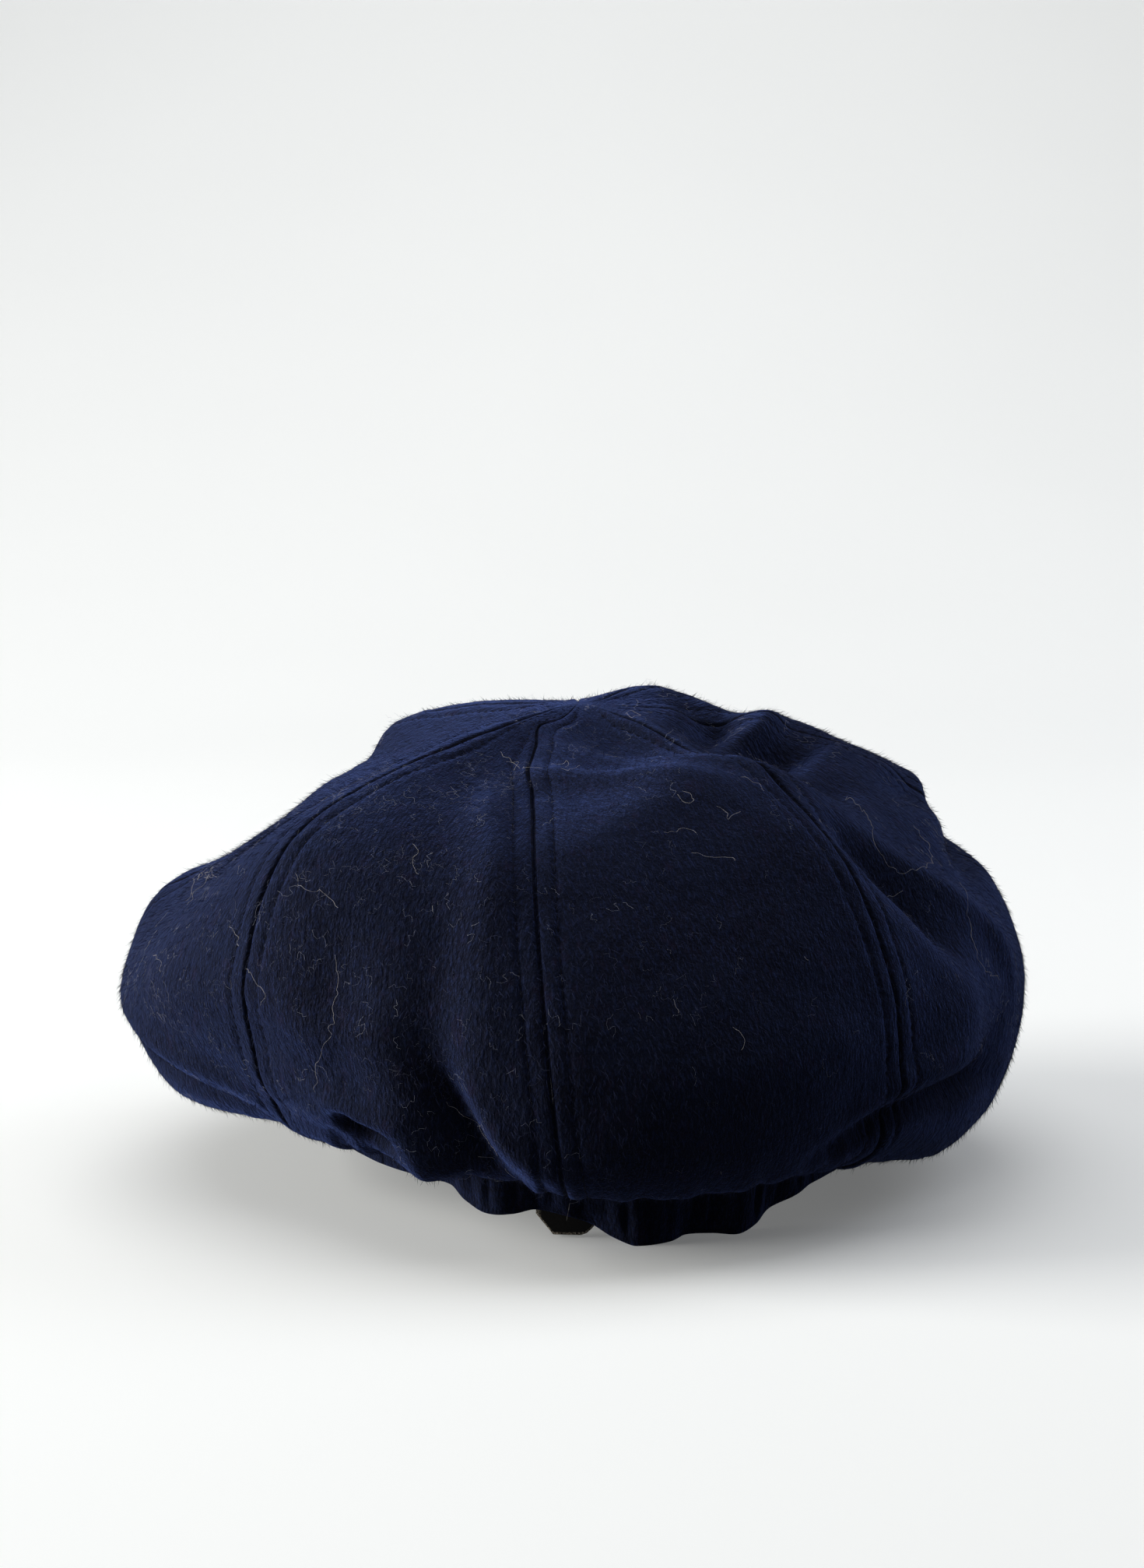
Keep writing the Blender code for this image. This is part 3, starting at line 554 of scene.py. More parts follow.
def wool(tree, colours, depth, bloom):
    """Melton: wool cloth milled and raised to a short nap. Matt, mottled, with paler hairs combed down the
    panel and a soft bloom where the nap is seen edge on."""
    place = add(tree, "ShaderNodeUVMap", uv_map="cloth")
    solid = add(tree, "ShaderNodeTexCoord", output="Object")
    # hairs about 0.5 mm wide and 3 mm long, locks of nap about 1.5 by 5 mm, patches of about 20 mm
    hairs = noise(tree, place, 1.0, 3.0, (1150.0, 400.0, 1.0))
    locks = noise(tree, place, 1.0, 4.0, (520.0, 180.0, 1.0))
    grain = noise(tree, solid, 1500.0, 2.0)
    patches = noise(tree, solid, 48.0, 4.0)
    tinge = noise(tree, solid, 210.0, 3.0, (1.0, 1.0, 0.5))
    base = linear(colours.ground)
    layers = (
        (patches, 0.34, 0.66, 0.0, 1.0, colours.body),
        (tinge, 0.55, 0.72, 0.0, 0.55, colours.tinge),
        (locks, 0.40, 0.72, 0.0, 0.55, colours.body),
        (hairs, 0.46, 0.72, 0.0, 0.72, colours.nap),
        (grain, 0.30, 0.52, 0.35, 0.0, colours.ground),
    )
    for pattern, low, high, start, end, colour in layers:
        base = blend(tree, spread_range(tree, pattern, low, high, start, end), base, linear(colour))
    height = add(tree, "ShaderNodeMath", {0: locks, 1: 1.1, 2: hairs}, operation="MULTIPLY_ADD")
    height = add(tree, "ShaderNodeMath", {0: grain, 1: 0.5, 2: height}, operation="MULTIPLY_ADD")
    return {"Base Color": base, "Roughness": spread_range(tree, hairs, 0.3, 0.8, 0.82, 0.97),
            "Specular IOR Level": 0.06, "Sheen Weight": bloom, "Sheen Roughness": 0.44,
            "Sheen Tint": linear(colours.bloom), "Normal": bumped(tree, height, depth, 1.0)}


def leather(tree, colours):
    """Thin finished leather, black, with a fine pebbled grain of about 0.7 mm, a low sheen, and a raw cut
    edge that shows the paler fibres inside, brightened further by a painted highlight for the light from
    below."""
    solid = add(tree, "ShaderNodeTexCoord", output="Object")
    pebbles = add(tree, "ShaderNodeTexVoronoi", {"Vector": solid, "Scale": 1400.0, "Smoothness": 0.4},
                  "Distance", feature="SMOOTH_F1")
    black = linear(colours.leather)
    wear = spread_range(tree, noise(tree, solid, 90.0, 4.0), 0.35, 0.7)
    fibres = spread_range(tree, noise(tree, solid, 2600.0, 2.0), 0.35, 0.65)
    face = blend(tree, wear, black, linear(colours.leather_worn))
    # the cut edge colour is paler fibres plus a painted highlight for light from below
    cut = blend(tree, fibres, black, linear(colours.leather_cut_and_highlight))
    edge = add(tree, "ShaderNodeAttribute", None, "Fac", attribute_name="cut")
    return {"Base Color": blend(tree, edge, face, cut), "Specular IOR Level": 0.10,
            "Roughness": spread_range(tree, edge, 0.0, 1.0, 0.55, 0.9),
            "Normal": bumped(tree, pebbles, 0.12 * MM, 0.5)}


def thread(tree, colour):
    """Spun polyester sewing thread: a soft gleam and the slant of its twist, about 0.35 mm a turn."""
    solid = add(tree, "ShaderNodeTexCoord", output="Object")
    twist = spread_range(tree, noise(tree, solid, 2800.0, 1.0), 0.35, 0.65, 0.0, 0.5)
    return {"Base Color": blend(tree, twist, linear(colour), linear("#0A0D16")), "Roughness": 0.8,
            "Specular IOR Level": 0.1}


def fibre(tree, dark, pale):
    """Loose wool hairs, each its own shade between two colours."""
    shade = add(tree, "ShaderNodeAttribute", None, "Fac", attribute_name="shade")
    return {"Base Color": blend(tree, shade, linear(dark), linear(pale)), "Roughness": 0.8,
            "Specular IOR Level": 0.08}


def paper(tree, colour):
    """Matt seamless background paper, faintly cloudy, with a faint glow of its own: painted light that lifts
    its shadows.
    """
    solid = add(tree, "ShaderNodeTexCoord", output="Object")
    cloud = spread_range(tree, noise(tree, solid, 2.0, 2.0), 0.3, 0.7, 0.0, 0.08)
    # the emission is a painted glow that brightens the paper, its shadows too
    return {"Base Color": blend(tree, cloud, linear(colour), linear("#D8DADA")), "Roughness": 0.95,
            "Emission Color": linear(colour), "Emission Strength": 0.15}


def material(name, maker, *values):
    """The material of this name, made on first use. Its maker adds nodes and says what the shader takes."""
    made = bpy.data.materials.get(name)
    if made is None:
        made = bpy.data.materials.new(name)
        made.use_nodes = True
        tree = made.node_tree
        give(tree, tree.nodes["Principled BSDF"], maker(tree, *values))
    return made


def melton():
    """The napped cloth that the whole cap is made of."""
    return material("napped_navy_melton", wool, bpy.context.scene.cap_colours, NAP_RELIEF, 0.52)


def link_mesh(name, vertices, edges, faces):
    """A new object in the scene, of this mesh."""
    mesh = bpy.data.meshes.new(name)
    mesh.from_pydata(vertices, edges, faces)
    made = bpy.data.objects.new(name, mesh)
    bpy.context.collection.objects.link(made)
    return made


def piece_from(name, vertices, faces, finish, cloth_map=None):
    """One smooth object from vertices and faces that point outwards."""
    made = link_mesh(name, vertices, [], faces)
    mesh = made.data
    mesh.shade_smooth()
    mesh.materials.append(finish)
    if cloth_map is not None:
        corners = np.zeros(len(mesh.loops), np.int32)
        mesh.loops.foreach_get("vertex_index", corners)
        layer = mesh.uv_layers.new(name="cloth")
        layer.data.foreach_set("uv", np.ascontiguousarray(cloth_map[corners], np.float32).ravel())
    return made


def store(piece, name, values, kind="FLOAT", field="value"):
    """Keep a value for each vertex of a piece under this name."""
    layer = piece.data.attributes.new(name, kind, "POINT")
    layer.data.foreach_set(field, np.ascontiguousarray(values, np.float32).ravel())


def grid_faces(rows, columns, first, flip):
    """Quads of a grid whose vertices start at this number."""
    start = first + np.arange(rows - 1)[:, None] * columns + np.arange(columns - 1)[None, :]
    quads = np.stack([start, start + columns, start + columns + 1, start + 1], -1).reshape(-1, 4)
    return (quads[:, ::-1] if flip else quads).tolist()


def rim(rows, columns, first):
    """Numbers of the vertices round the edge of a grid whose vertices start at this number."""
    number = first + np.arange(rows * columns).reshape(rows, columns)
    return np.concatenate([number[0], number[1:, -1], number[-1, -2::-1], number[-2:0:-1, 0]]).tolist()


def ride(piece, slot, *nodes):
    """Fix a piece to the cap's one body and hide the solids it stands for. The slot argument is not used."""
    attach(piece, "root")
    if nodes:
        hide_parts(*nodes)


def crown_panel(index):
    """One panel: a fine outer face, a coarser inside, and a narrow wall that joins them all round."""
    outer, inner, _, _, cloth_map = panel_grid(index)
    inner, inside_map = inner[::LINING_SKIP, ::LINING_SKIP], cloth_map[::LINING_SKIP, ::LINING_SKIP]
    rows, columns = outer.shape[:2]
    first = rows * columns
    faces = grid_faces(rows, columns, 0, False)
    strip = np.arange(len(faces)) % (columns - 1)
    # faces beside each seam and the walls round the panel take the pressed cloth, whose lost bloom is painted
    # shade
    pressed_and_shaded = ((strip < SEAM_COLUMNS) | (strip >= columns - 1 - SEAM_COLUMNS)).tolist()
    faces += grid_faces(*inner.shape[:2], first, True)
    pressed_and_shaded += [False] * (len(faces) - len(pressed_and_shaded))
    outside = rim(rows, columns, 0)
    inside = rim(*inner.shape[:2], first)
    for k, corner in enumerate(inside):
        fan = [outside[(LINING_SKIP * k + n) % len(outside)] for n in range(LINING_SKIP + 1)]
        faces += [(corner, here, there) for here, there in zip(fan, fan[1:])]
        faces.append((corner, fan[-1], inside[(k + 1) % len(inside)]))
    pressed_and_shaded += [True] * (len(faces) - len(pressed_and_shaded))
    vertices = np.concatenate([outer.reshape(-1, 3), inner.reshape(-1, 3)])
    cloth_map = np.concatenate([cloth_map.reshape(-1, 2), inside_map.reshape(-1, 2)])
    made = piece_from("crown_cloth_%d" % (index + 1), vertices, faces, melton(), cloth_map)
    # in the seams the nap is pressed and sewn under, and its bloom is also taken out there as painted shade
    # in the groove
    made.data.materials.append(material("seam_pressed_shaded_navy_melton", wool, bpy.context.scene.cap_colours,
                                        PRESSED_RELIEF, 0.04))
    made.data.polygons.foreach_set("material_index", np.array(pressed_and_shaded, np.int32))
    return made


def swept_piece(name, sections, finish, cloth_map=None):
    """A closed piece through sections, each a loop of points, with capped ends and its faces outwards."""
    count, points = sections.shape[:2]
    here = np.arange(count - 1)[:, None] * points + np.arange(points)[None, :]
    step = np.roll(here, -1, 1)
    faces = np.stack([here, step, step + points, here + points], -1).reshape(-1, 4).tolist()
    faces += [list(range(points))[::-1], [(count - 1) * points + k for k in range(points)]]
    made = piece_from(name, sections.reshape(-1, 3) + MIDDLE, faces, finish, cloth_map)
    work = bmesh.new()
    work.from_mesh(made.data)
    bmesh.ops.recalc_face_normals(work, faces=work.faces)
    work.to_mesh(made.data)
    work.free()
    return made


def ring_piece(name, angle, sections):
    """A closed strip of the cap's cloth round the head, its map running along it and round each section."""
    steps = np.linalg.norm(np.diff(sections, axis=1, prepend=sections[:, :1]), axis=-1)
    around_section = np.cumsum(steps, 1)
    along = np.radians(angle) * 90 * MM + 0.0 * around_section
    return swept_piece(name, sections, melton(), np.stack([along, around_section], -1).reshape(-1, 2))


def casing_section(bulge):
    """Out and up of points round a folded cloth band: down its face, under its edge, up its inside."""
    up = np.concatenate([np.linspace(1.0, 0.10, 20), [0.07, 0.045, 0.025, 0.010]])
    out = bulge * np.sin(np.pi * np.clip(1.04 - up, 0.0, 1.0)) ** 0.8
    edge = np.radians(np.linspace(20.0, 160.0, 8))
    half = BAND_WALL / 2
    under = np.stack([-half + half * np.cos(edge), 0.010 * BAND_HEIGHT - 0.2 * MM * np.sin(edge)], -1)
    inside = np.stack([np.full(10, -BAND_WALL), np.linspace(0.02, 1.0, 10) * BAND_HEIGHT], -1)
    section = np.concatenate([np.stack([out, up * BAND_HEIGHT], -1), under, inside])
    return section[None, :, 0], section[None, :, 1]


def band():
    """The plain band round the front and sides, a doubled strip of the same wool."""
    angle = np.linspace(GATHER_TO, GATHER_FROM + 360.0, 281)[:, None]
    out, up = casing_section(0.35 * MM)
    outer = out > -0.5 * BAND_WALL
    out = out - 0.45 * MM * hump(up - BAND_STITCHES_UP, 0.8 * MM) * outer
    points = band_point(angle, up, out)
    out = out + MM * (0.35 * unevenness(points, 16 * MM, 11) + 0.15 * unevenness(points, 6 * MM, 12)) * outer
    return ring_piece("band_cloth", angle, band_point(angle, up, out))


def gathered_back():
    """The casing at the back, drawn up on its elastic: rounded lobes with sharp creases between them."""
    angle = np.linspace(GATHER_FROM, GATHER_TO, 321)[:, None]
    section_out, section_up = casing_section(CASING_BULGE)
    ends = ease(angle, GATHER_FROM, GATHER_FROM + 6.0) * ease(-angle, -GATHER_TO, 6.0 - GATHER_TO)
    up = section_up + 0.0 * angle
    out = np.where(section_out > 0, section_out * ends, section_out)
    outer = section_out > -0.7 * BAND_WALL
    lean = angle + 2.2 * (up / BAND_HEIGHT - 0.3) * np.sin(np.radians(angle) * 9.0)
    draw = np.zeros_like(up)
    random = np.random.default_rng(21)
    for place in np.arange(GATHER_FROM + 3.0, GATHER_TO - 2.0, 4.4):
        place += random.uniform(-1.3, 1.3)
        depth = random.uniform(0.5, 1.5)
        draw -= depth * hump(lean - place, random.uniform(0.7, 1.2))
        draw += 0.45 * depth * hump(lean - place - 1.9, 1.5)
    rise = ease(up, 0.0, 5 * MM) * (0.45 + 0.55 * ease(-up, -22 * MM, -8 * MM))
    out = out + MM * draw * rise * ends * outer
    points = band_point(angle, up, out)
    rough = 0.3 * unevenness(points, 9 * MM, 15) + 0.15 * unevenness(points, 4 * MM, 16)
    out = out + MM * rough * outer * ends
    points = band_point(angle, up, out)
    points[..., 2] = np.maximum(points[..., 2], 0.0)
    return ring_piece("gathered_back_cloth", angle, points)


def sweatband():
    """The leather strip inside the band. Its cut end hangs below the gathered edge at the centre back."""
    chamfer_angle = np.degrees(SWEATBAND_CHAMFER / BAND_HALF_DEPTH)
    angle = np.concatenate([SWEATBAND_FROM + chamfer_angle * np.array([0.0, 0.33, 0.66]),
                            np.linspace(SWEATBAND_FROM + chamfer_angle, SWEATBAND_TO, 300)])
    turn = (angle + 180.0) % 360.0 - 180.0
    back = np.clip((turn - GATHERS[0][0]) / 24.0, 0.0, 1.0)
    back = ease(back * np.clip((GATHERS[-1][0] - turn) / 24.0, 0.0, 1.0), 0.0, 1.0)
    shown = ease(SWEATBAND_FROM + SWEATBAND_END - angle, 0.0, 0.5 * SWEATBAND_END)
    chamfer = SWEATBAND_CHAMFER * np.clip(1.0 - (angle - SWEATBAND_FROM) / chamfer_angle, 0.0, 1.0)
    a = np.radians(angle)
    wave = 0.25 * MM * np.sin(9.0 * a) + 0.15 * MM * np.sin(23.0 * a + 1.0)
    # rows up the strip: the first few are lengths above its lower edge, the others shares of its height
    rows = np.array([0.0, 0.15 * MM, 0.7 * MM, 0.9 * MM, 0.15, 0.3, 0.5, 0.7, 0.85, 1.0])
    loops = []
    for wall, order in ((0.0, 1), (SWEATBAND_WALL, -1)):
        out = -(BAND_WALL + GAP + back * GATHER_DEPTH + wall)
        base = BAND_Z + BAND_LEAN * (BAND_HALF_WIDTH + out) * np.sin(a) + SWEATBAND_UP
        low = base + (SWEATBAND_END_Z - base) * shown + chamfer
        high = base + SWEATBAND_HEIGHT
        for row in rows[::order]:
            z = low + row if 0.0 < row < 1.0 * MM else low + (high - low) * row
            bow = out + wave * np.sin(np.pi * (z - low) / (high - low))
            if row == 0.0:
                bow = bow - 0.2 * MM * order
            x = BAND_X + (BAND_HALF_WIDTH + bow) * np.sin(a)
            y = -(BAND_HALF_DEPTH + bow) * np.cos(a)
            loops.append(np.stack([x, y, z], -1))
    sections = np.stack(loops, 1)
    finish = material("black_sweatband_leather", leather, bpy.context.scene.cap_colours)
    made = swept_piece("sweatband_leather", sections, finish)
    cut = np.zeros(sections.shape[:2])
    cut[:, [0, 1, 2, -1]] = 1.0
    cut[0] = 1.0
    store(made, "cut", cut)
    return made


def peak_places(across):
    """Roots, reach, direction and slope of the peak across its width."""
    roots = band_point(180.0 + across * PEAK_HALF_ANGLE, PEAK_ROOT_UP, GAP)
    reach = PEAK_SIDE + PEAK_LENGTH * np.sqrt(np.clip(1.0 - across ** 2, 0.0, 1.0))
    fan = np.radians(180.0 + across * PEAK_HALF_FAN)
    toward = np.stack([np.sin(fan), -np.cos(fan), np.zeros_like(fan)], -1)
    corner = np.minimum(np.abs(across), PEAK_CORNER_SHARE)
    tip = PEAK_ARCH * (1.0 - (corner / PEAK_CORNER_SHARE) ** 2)
    slope = (roots[:, 2] - tip) / (PEAK_SIDE + PEAK_LENGTH * np.sqrt(1.0 - corner ** 2))
    return roots, reach, toward, slope


def peak_surface(across, share, lift):
    """Points of the peak at shares of the way out, this much of its wall above its underside."""
    roots, reach, toward, slope = peak_places(across)
    share = np.broadcast_to(share, (len(across), np.shape(share)[-1]))
    points = roots[:, None] + toward[:, None] * (reach[:, None] * share)[..., None]
    swell = 0.25 * PEAK_ARCH * np.sin(np.pi * share) * (reach / reach.max())[:, None]
    low = roots[:, None, 2] - slope[:, None] * reach[:, None] * share + swell
    points[..., 2] = np.maximum(low, 0.0) + PEAK_WALL * (1.0 - 0.35 * share) * lift
    return points


def peak():
    """The stiffened peak in front, two faces of wool over a board, turned at the edge and sewn inside it."""
    across = np.sin(np.linspace(-np.pi / 2, np.pi / 2, 161))
    share = np.concatenate([np.linspace(0.0, 0.9, 40), np.linspace(0.92, 0.985, 8)])[None]
    inset = (1.0 - share) * peak_places(across)[1][:, None]
    groove = 0.35 * MM * (hump(inset - PEAK_STITCHES_IN, 0.9 * MM) - 0.5 * hump(inset - 2.6 * MM, 1.8 * MM))
    over = peak_surface(across, share, 1.0)
    over[..., 2] -= groove
    over[..., 2] += 0.25 * MM * unevenness(over, 14 * MM, 31) + 0.10 * MM * unevenness(over, 5 * MM, 32)
    under = peak_surface(across, share, 0.0)
    under[..., 2] = np.maximum(under[..., 2] + groove, 0.0)
    edge = np.radians(np.linspace(70.0, -70.0, 7))
    tip = peak_surface(across, (0.985 + 0.015 * np.cos(edge))[None], (0.5 + 0.47 * np.sin(edge))[None])
    sections = np.concatenate([over, tip, under[:, ::-1]], 1)
    return swept_piece("peak_cloth", sections, melton(), sections[..., :2].reshape(-1, 2))


def geometry_tree(name, build, *labels):
    """A Geometry Nodes tree of the nodes that build adds, with these named inputs and their identifiers."""
    tree = bpy.data.node_groups.new(name, "GeometryNodeTree")
    for way in ("INPUT", "OUTPUT"):
        tree.interface.new_socket("Geometry", in_out=way, socket_type="NodeSocketGeometry")
    keys = {}
    for label in labels + ("Material",):
        kind = "NodeSocket" + {"Seed": "Int", "Material": "Material"}.get(label, "Float")
        keys[label] = tree.interface.new_socket(label, in_out="INPUT", socket_type=kind).identifier
    given = tree.nodes.new("NodeGroupInput").outputs
    real = add(tree, "GeometryNodeRealizeInstances", {"Geometry": build(tree, given)})
    named = add(tree, "GeometryNodeSetMaterial", {"Geometry": real, "Material": given["Material"]})
    tree.links.new(named, tree.nodes.new("NodeGroupOutput").inputs[0])
    return tree, keys


def grow(source, name, tree, keys, values):
    """Run a tree on a source object and keep the result as a plain mesh of its own."""
    modifier = source.modifiers.new(name, "NODES")
    modifier.node_group = tree
    for label, value in values.items():
        modifier[keys[label]] = value
    depsgraph = bpy.context.evaluated_depsgraph_get()
    mesh = bpy.data.meshes.new_from_object(source.evaluated_get(depsgraph), depsgraph=depsgraph)
    source.modifiers.remove(modifier)
    made = bpy.data.objects.new(name, mesh)
    mesh.name = name
    bpy.context.collection.objects.link(made)
    bpy.data.objects.remove(source, do_unlink=True)
    return made


def numbers(tree, operation, one, other):
    """One step of arithmetic."""
    return add(tree, "ShaderNodeMath", {0: one, 1: other}, operation=operation)


def vectors(tree, operation, one, other):
    """One step of vector arithmetic."""
    second = "Scale" if operation == "SCALE" else 1
    return add(tree, "ShaderNodeVectorMath", {0: one, second: other}, operation=operation)


def kept(tree, name, kind="FLOAT"):
    """An attribute that the source mesh carries."""
    return add(tree, "GeometryNodeInputNamedAttribute", {"Name": name}, data_type=kind)


def random_number(tree, low, high, seed):
    """A random number for each point."""
    return add(tree, "FunctionNodeRandomValue", {2: low, 3: high, "Seed": seed}, 1, data_type="FLOAT")


def random_vector(tree, low, high, seed):
    """A random vector for each point."""
    return add(tree, "FunctionNodeRandomValue", {0: low, 1: high, "Seed": seed}, data_type="FLOAT_VECTOR")


def tube(tree, lines, radius, sides):
    """A closed tube along curves."""
    ring = add(tree, "GeometryNodeCurvePrimitiveCircle", {"Resolution": sides, "Radius": radius})
    return add(tree, "GeometryNodeCurveToMesh", {"Curve": lines, "Profile Curve": ring, "Fill Caps": True})


def scattered(tree, given):
    """Random points on the source's faces, as dense there as the density times the amount kept on them."""
    density = numbers(tree, "MULTIPLY", given["Density"], kept(tree, "amount"))
    return add(tree, "GeometryNodeDistributePointsOnFaces", {
        "Mesh": given["Geometry"], "Density": density, "Seed": given["Seed"]}, distribute_method="RANDOM")


def shade_each(tree, instances, shade):
    """Keep a shade of its own on each instance."""
    return add(tree, "GeometryNodeStoreNamedAttribute", {
        "Geometry": instances, "Name": "shade", "Value": shade}, data_type="FLOAT", domain="INSTANCE")


def stitches(tree, given):
    """Stitches along lines: each a short arched thread with its ends in the cloth."""
    lines = add(tree, "GeometryNodeMeshToCurve", {"Mesh": given["Geometry"]})
    points = add(tree, "GeometryNodeCurveToPoints", {"Curve": lines, "Length": given["Pitch"]}, mode="LENGTH")
    along = points.node.outputs["Tangent"]
    turned = add(tree, "FunctionNodeAlignRotationToVector", {"Vector": along}, axis="X")
    turned = add(tree, "FunctionNodeAlignRotationToVector",
                 {"Rotation": turned, "Vector": kept(tree, "out", "FLOAT_VECTOR")}, axis="Z", pivot_axis="X")
    half = numbers(tree, "MULTIPLY", given["Stitch Length"], 0.5)
    back = numbers(tree, "MULTIPLY", given["Stitch Length"], -0.5)
    deep = numbers(tree, "MULTIPLY", given["Thread Radius"], -1.2)
    high = numbers(tree, "MULTIPLY", given["Thread Radius"], 2.2)
    ends = {"Start": {0: back, 2: deep}, "Middle": {2: high}, "End": {0: half, 2: deep}}
    ends = {name: add(tree, "ShaderNodeCombineXYZ", place) for name, place in ends.items()}
    arch = add(tree, "GeometryNodeCurveQuadraticBezier", {"Resolution": 4, **ends})
    return add(tree, "GeometryNodeInstanceOnPoints", {
        "Points": points, "Instance": tube(tree, arch, given["Thread Radius"], 5), "Rotation": turned})


def nap(tree, given):
    """Short straight hairs standing out of cloth, combed the way of its nap."""
    points = scattered(tree, given)
    stray = random_vector(tree, (-0.65, -0.65, -0.65), (0.65, 0.65, 0.65), given["Seed"])
    lean = vectors(tree, "ADD", kept(tree, "nap_way", "FLOAT_VECTOR"), stray)
    stand = vectors(tree, "SCALE", points.node.outputs["Normal"], given["Stand"])
    way = vectors(tree, "ADD", lean, stand)
    hair = add(tree, "GeometryNodeMeshCone", {
        "Vertices": 3, "Side Segments": 1, "Radius Top": 0.0, "Radius Bottom": given["Thickness"],
        "Depth": given["Length"]}, fill_type="NGON")
    hairs = add(tree, "GeometryNodeInstanceOnPoints", {
        "Points": points, "Instance": hair, "Scale": random_number(tree, 0.55, 1.45, 5),
        "Rotation": add(tree, "FunctionNodeAlignRotationToVector", {"Vector": way}, axis="Z")})
    return shade_each(tree, hairs, random_number(tree, 0.0, 1.0, 9))


def lint(tree, given):
    """Curled loose fibres lying on cloth, each one of a few shapes."""
    points = scattered(tree, given)
    end = add(tree, "ShaderNodeCombineXYZ", {0: given["Length"]})
    line = add(tree, "GeometryNodeCurvePrimitiveLine", {"End": end})
    line = add(tree, "GeometryNodeResampleCurve", {"Curve": line, "Count": 9})
    place = add(tree, "GeometryNodeInputPosition")
    shapes = add(tree, "GeometryNodeJoinGeometry")
    for shape in range(LINT_SHAPES):
        curl = vectors(tree, "ADD", place, (shape * 0.37, 0.1, 0.2))
        curl = add(tree, "ShaderNodeTexNoise", {"Vector": curl, "Scale": 650.0, "Detail": 1.0}, "Color")
        curl = vectors(tree, "SUBTRACT", curl, (0.5, 0.5, 0.42))
        curl = vectors(tree, "MULTIPLY", curl, (1.0, 1.0, 0.22))
        curl = vectors(tree, "SCALE", curl, given["Curl"])
        curled = add(tree, "GeometryNodeSetPosition", {"Geometry": line, "Offset": curl})
        strand = tube(tree, curled, given["Thickness"], 3)
        tree.links.new(add(tree, "GeometryNodeGeometryToInstance", {0: strand}), shapes.node.inputs[0])
    choice = add(tree, "FunctionNodeRandomValue", {4: 0, 5: LINT_SHAPES - 1, "Seed": 3}, 2, data_type="INT")
    fibres = add(tree, "GeometryNodeInstanceOnPoints", {
        "Points": points, "Instance": shapes, "Pick Instance": True, "Instance Index": choice,
        "Rotation": points.node.outputs["Rotation"], "Scale": random_number(tree, 0.3, 1.1, 4)})
    spin = random_vector(tree, (0.0, 0.0, 0.0), (0.0, 0.0, 2.0 * np.pi), 6)
    spun = add(tree, "GeometryNodeRotateInstances", {"Instances": fibres, "Rotation": spin})
    return shade_each(tree, spun, numbers(tree, "POWER", random_number(tree, 0.0, 1.0, 8), 2.6))


def strands(tree, given):
    """A thin strand along each line."""
    lines = add(tree, "GeometryNodeMeshToCurve", {"Mesh": given["Geometry"]})
    return tube(tree, lines, given["Thickness"], 4)


def lines_object(name, lines, normals=None):
    """An object of open lines, each with the normals of the cloth that it lies on."""
    edges, count = [], 0
    for line in lines:
        edges += [(count + k, count + k + 1) for k in range(len(line) - 1)]
        count += len(line)
    made = link_mesh(name, np.concatenate(lines), edges, [])
    if normals is not None:
        store(made, "out", np.concatenate(normals), "FLOAT_VECTOR", "vector")
    return made


def panel_sheet(name, indexes, lowest, amount):
    """Open grids over some panels, down to this share, for hairs to grow from. Each place keeps the way of
    the nap and an amount of hairs."""
    vertices, faces, ways, amounts, count = [], [], [], [], 0
    for index in indexes:
        outer, _, _, falls, _ = panel_grid(index)
        rows = slice(4, int(lowest * PANEL_ROWS))
        points = outer[rows, ::3]
        faces += grid_faces(*points.shape[:2], count, False)
        vertices.append(points.reshape(-1, 3))
        ways.append(falls[rows, ::3].reshape(-1, 3))
        amounts.append(np.broadcast_to(amount(index, points), points.shape[:2]).ravel())
        count += len(vertices[-1])
    made = link_mesh(name, np.concatenate(vertices), [], faces)
    store(made, "nap_way", np.concatenate(ways), "FLOAT_VECTOR", "vector")
    store(made, "amount", np.concatenate(amounts))
    return made


def lint_amount(index, points):
    """How much lint lies at these places of a panel: patchy, and less of it lower down."""
    patch = 0.55 + 0.45 * unevenness(points, 22 * MM, 51)
    level = np.linspace(1.6, 0.3, len(points))[:, None] * LINT_SHARES[index]
    return 1.4 * level * patch ** 3


def stray_line(places):
    """A long loose hair over these places of the crown, each an angle and a share down."""
    places = np.array(places, float)
    t = np.linspace(0.0, len(places) - 1.0, 12 * len(places))
    soft = [np.interp(t + shift, np.arange(len(places)), column)
            for column in places.T for shift in (-0.3, 0.0, 0.3)]
    angle, down = np.mean(soft[:3], 0), np.mean(soft[3:], 0)
    points = crown_face(angle, down)
    curl = np.stack([unevenness(points + k * 0.1, 2.2 * MM, 71 + k) for k in range(3)], -1)
    return points + curl * 1.1 * MM + plain_normals(angle, down) * 1.0 * MM + MIDDLE


def length(label, about, default, low, high):
    """A length in metres that a user can set."""
    return bpy.props.FloatProperty(name=label, description=about, default=default, min=low, max=high,
                                   unit="LENGTH", precision=5)


def amount(label, about, default, high):
    """A count to the square metre that a user can set."""
    return bpy.props.FloatProperty(name=label, description=about, default=default, min=0.0, max=high)


def tint(label, about, default):
    """A colour that a user can set, as an sRGB hex value."""
    return bpy.props.StringProperty(name=label, description=about, default=default)


class CapSettings(bpy.types.PropertyGroup):
    """Sizes that a user would change."""
    stitch_pitch: length("Stitch pitch", "From one stitch to the next", STITCH_PITCH, 1.5 * MM, 8 * MM)
    thread_radius: length("Thread radius", "Radius of the sewing thread", 0.15 * MM, 0.05 * MM, 1 * MM)
    nap_length: length("Nap length", "Length of the raised wool hairs", 2.2 * MM, 0.5 * MM, 8 * MM)
    nap_density: amount("Nap density", "Raised hairs on each square metre", 800000.0, 3000000.0)
    lint_length: length("Loose fibre length", "Length of the curled loose fibres", 6 * MM, 1 * MM, 30 * MM)
    lint_density: amount("Loose fibre density", "Fibres on each square metre", 175000.0, 200000.0)


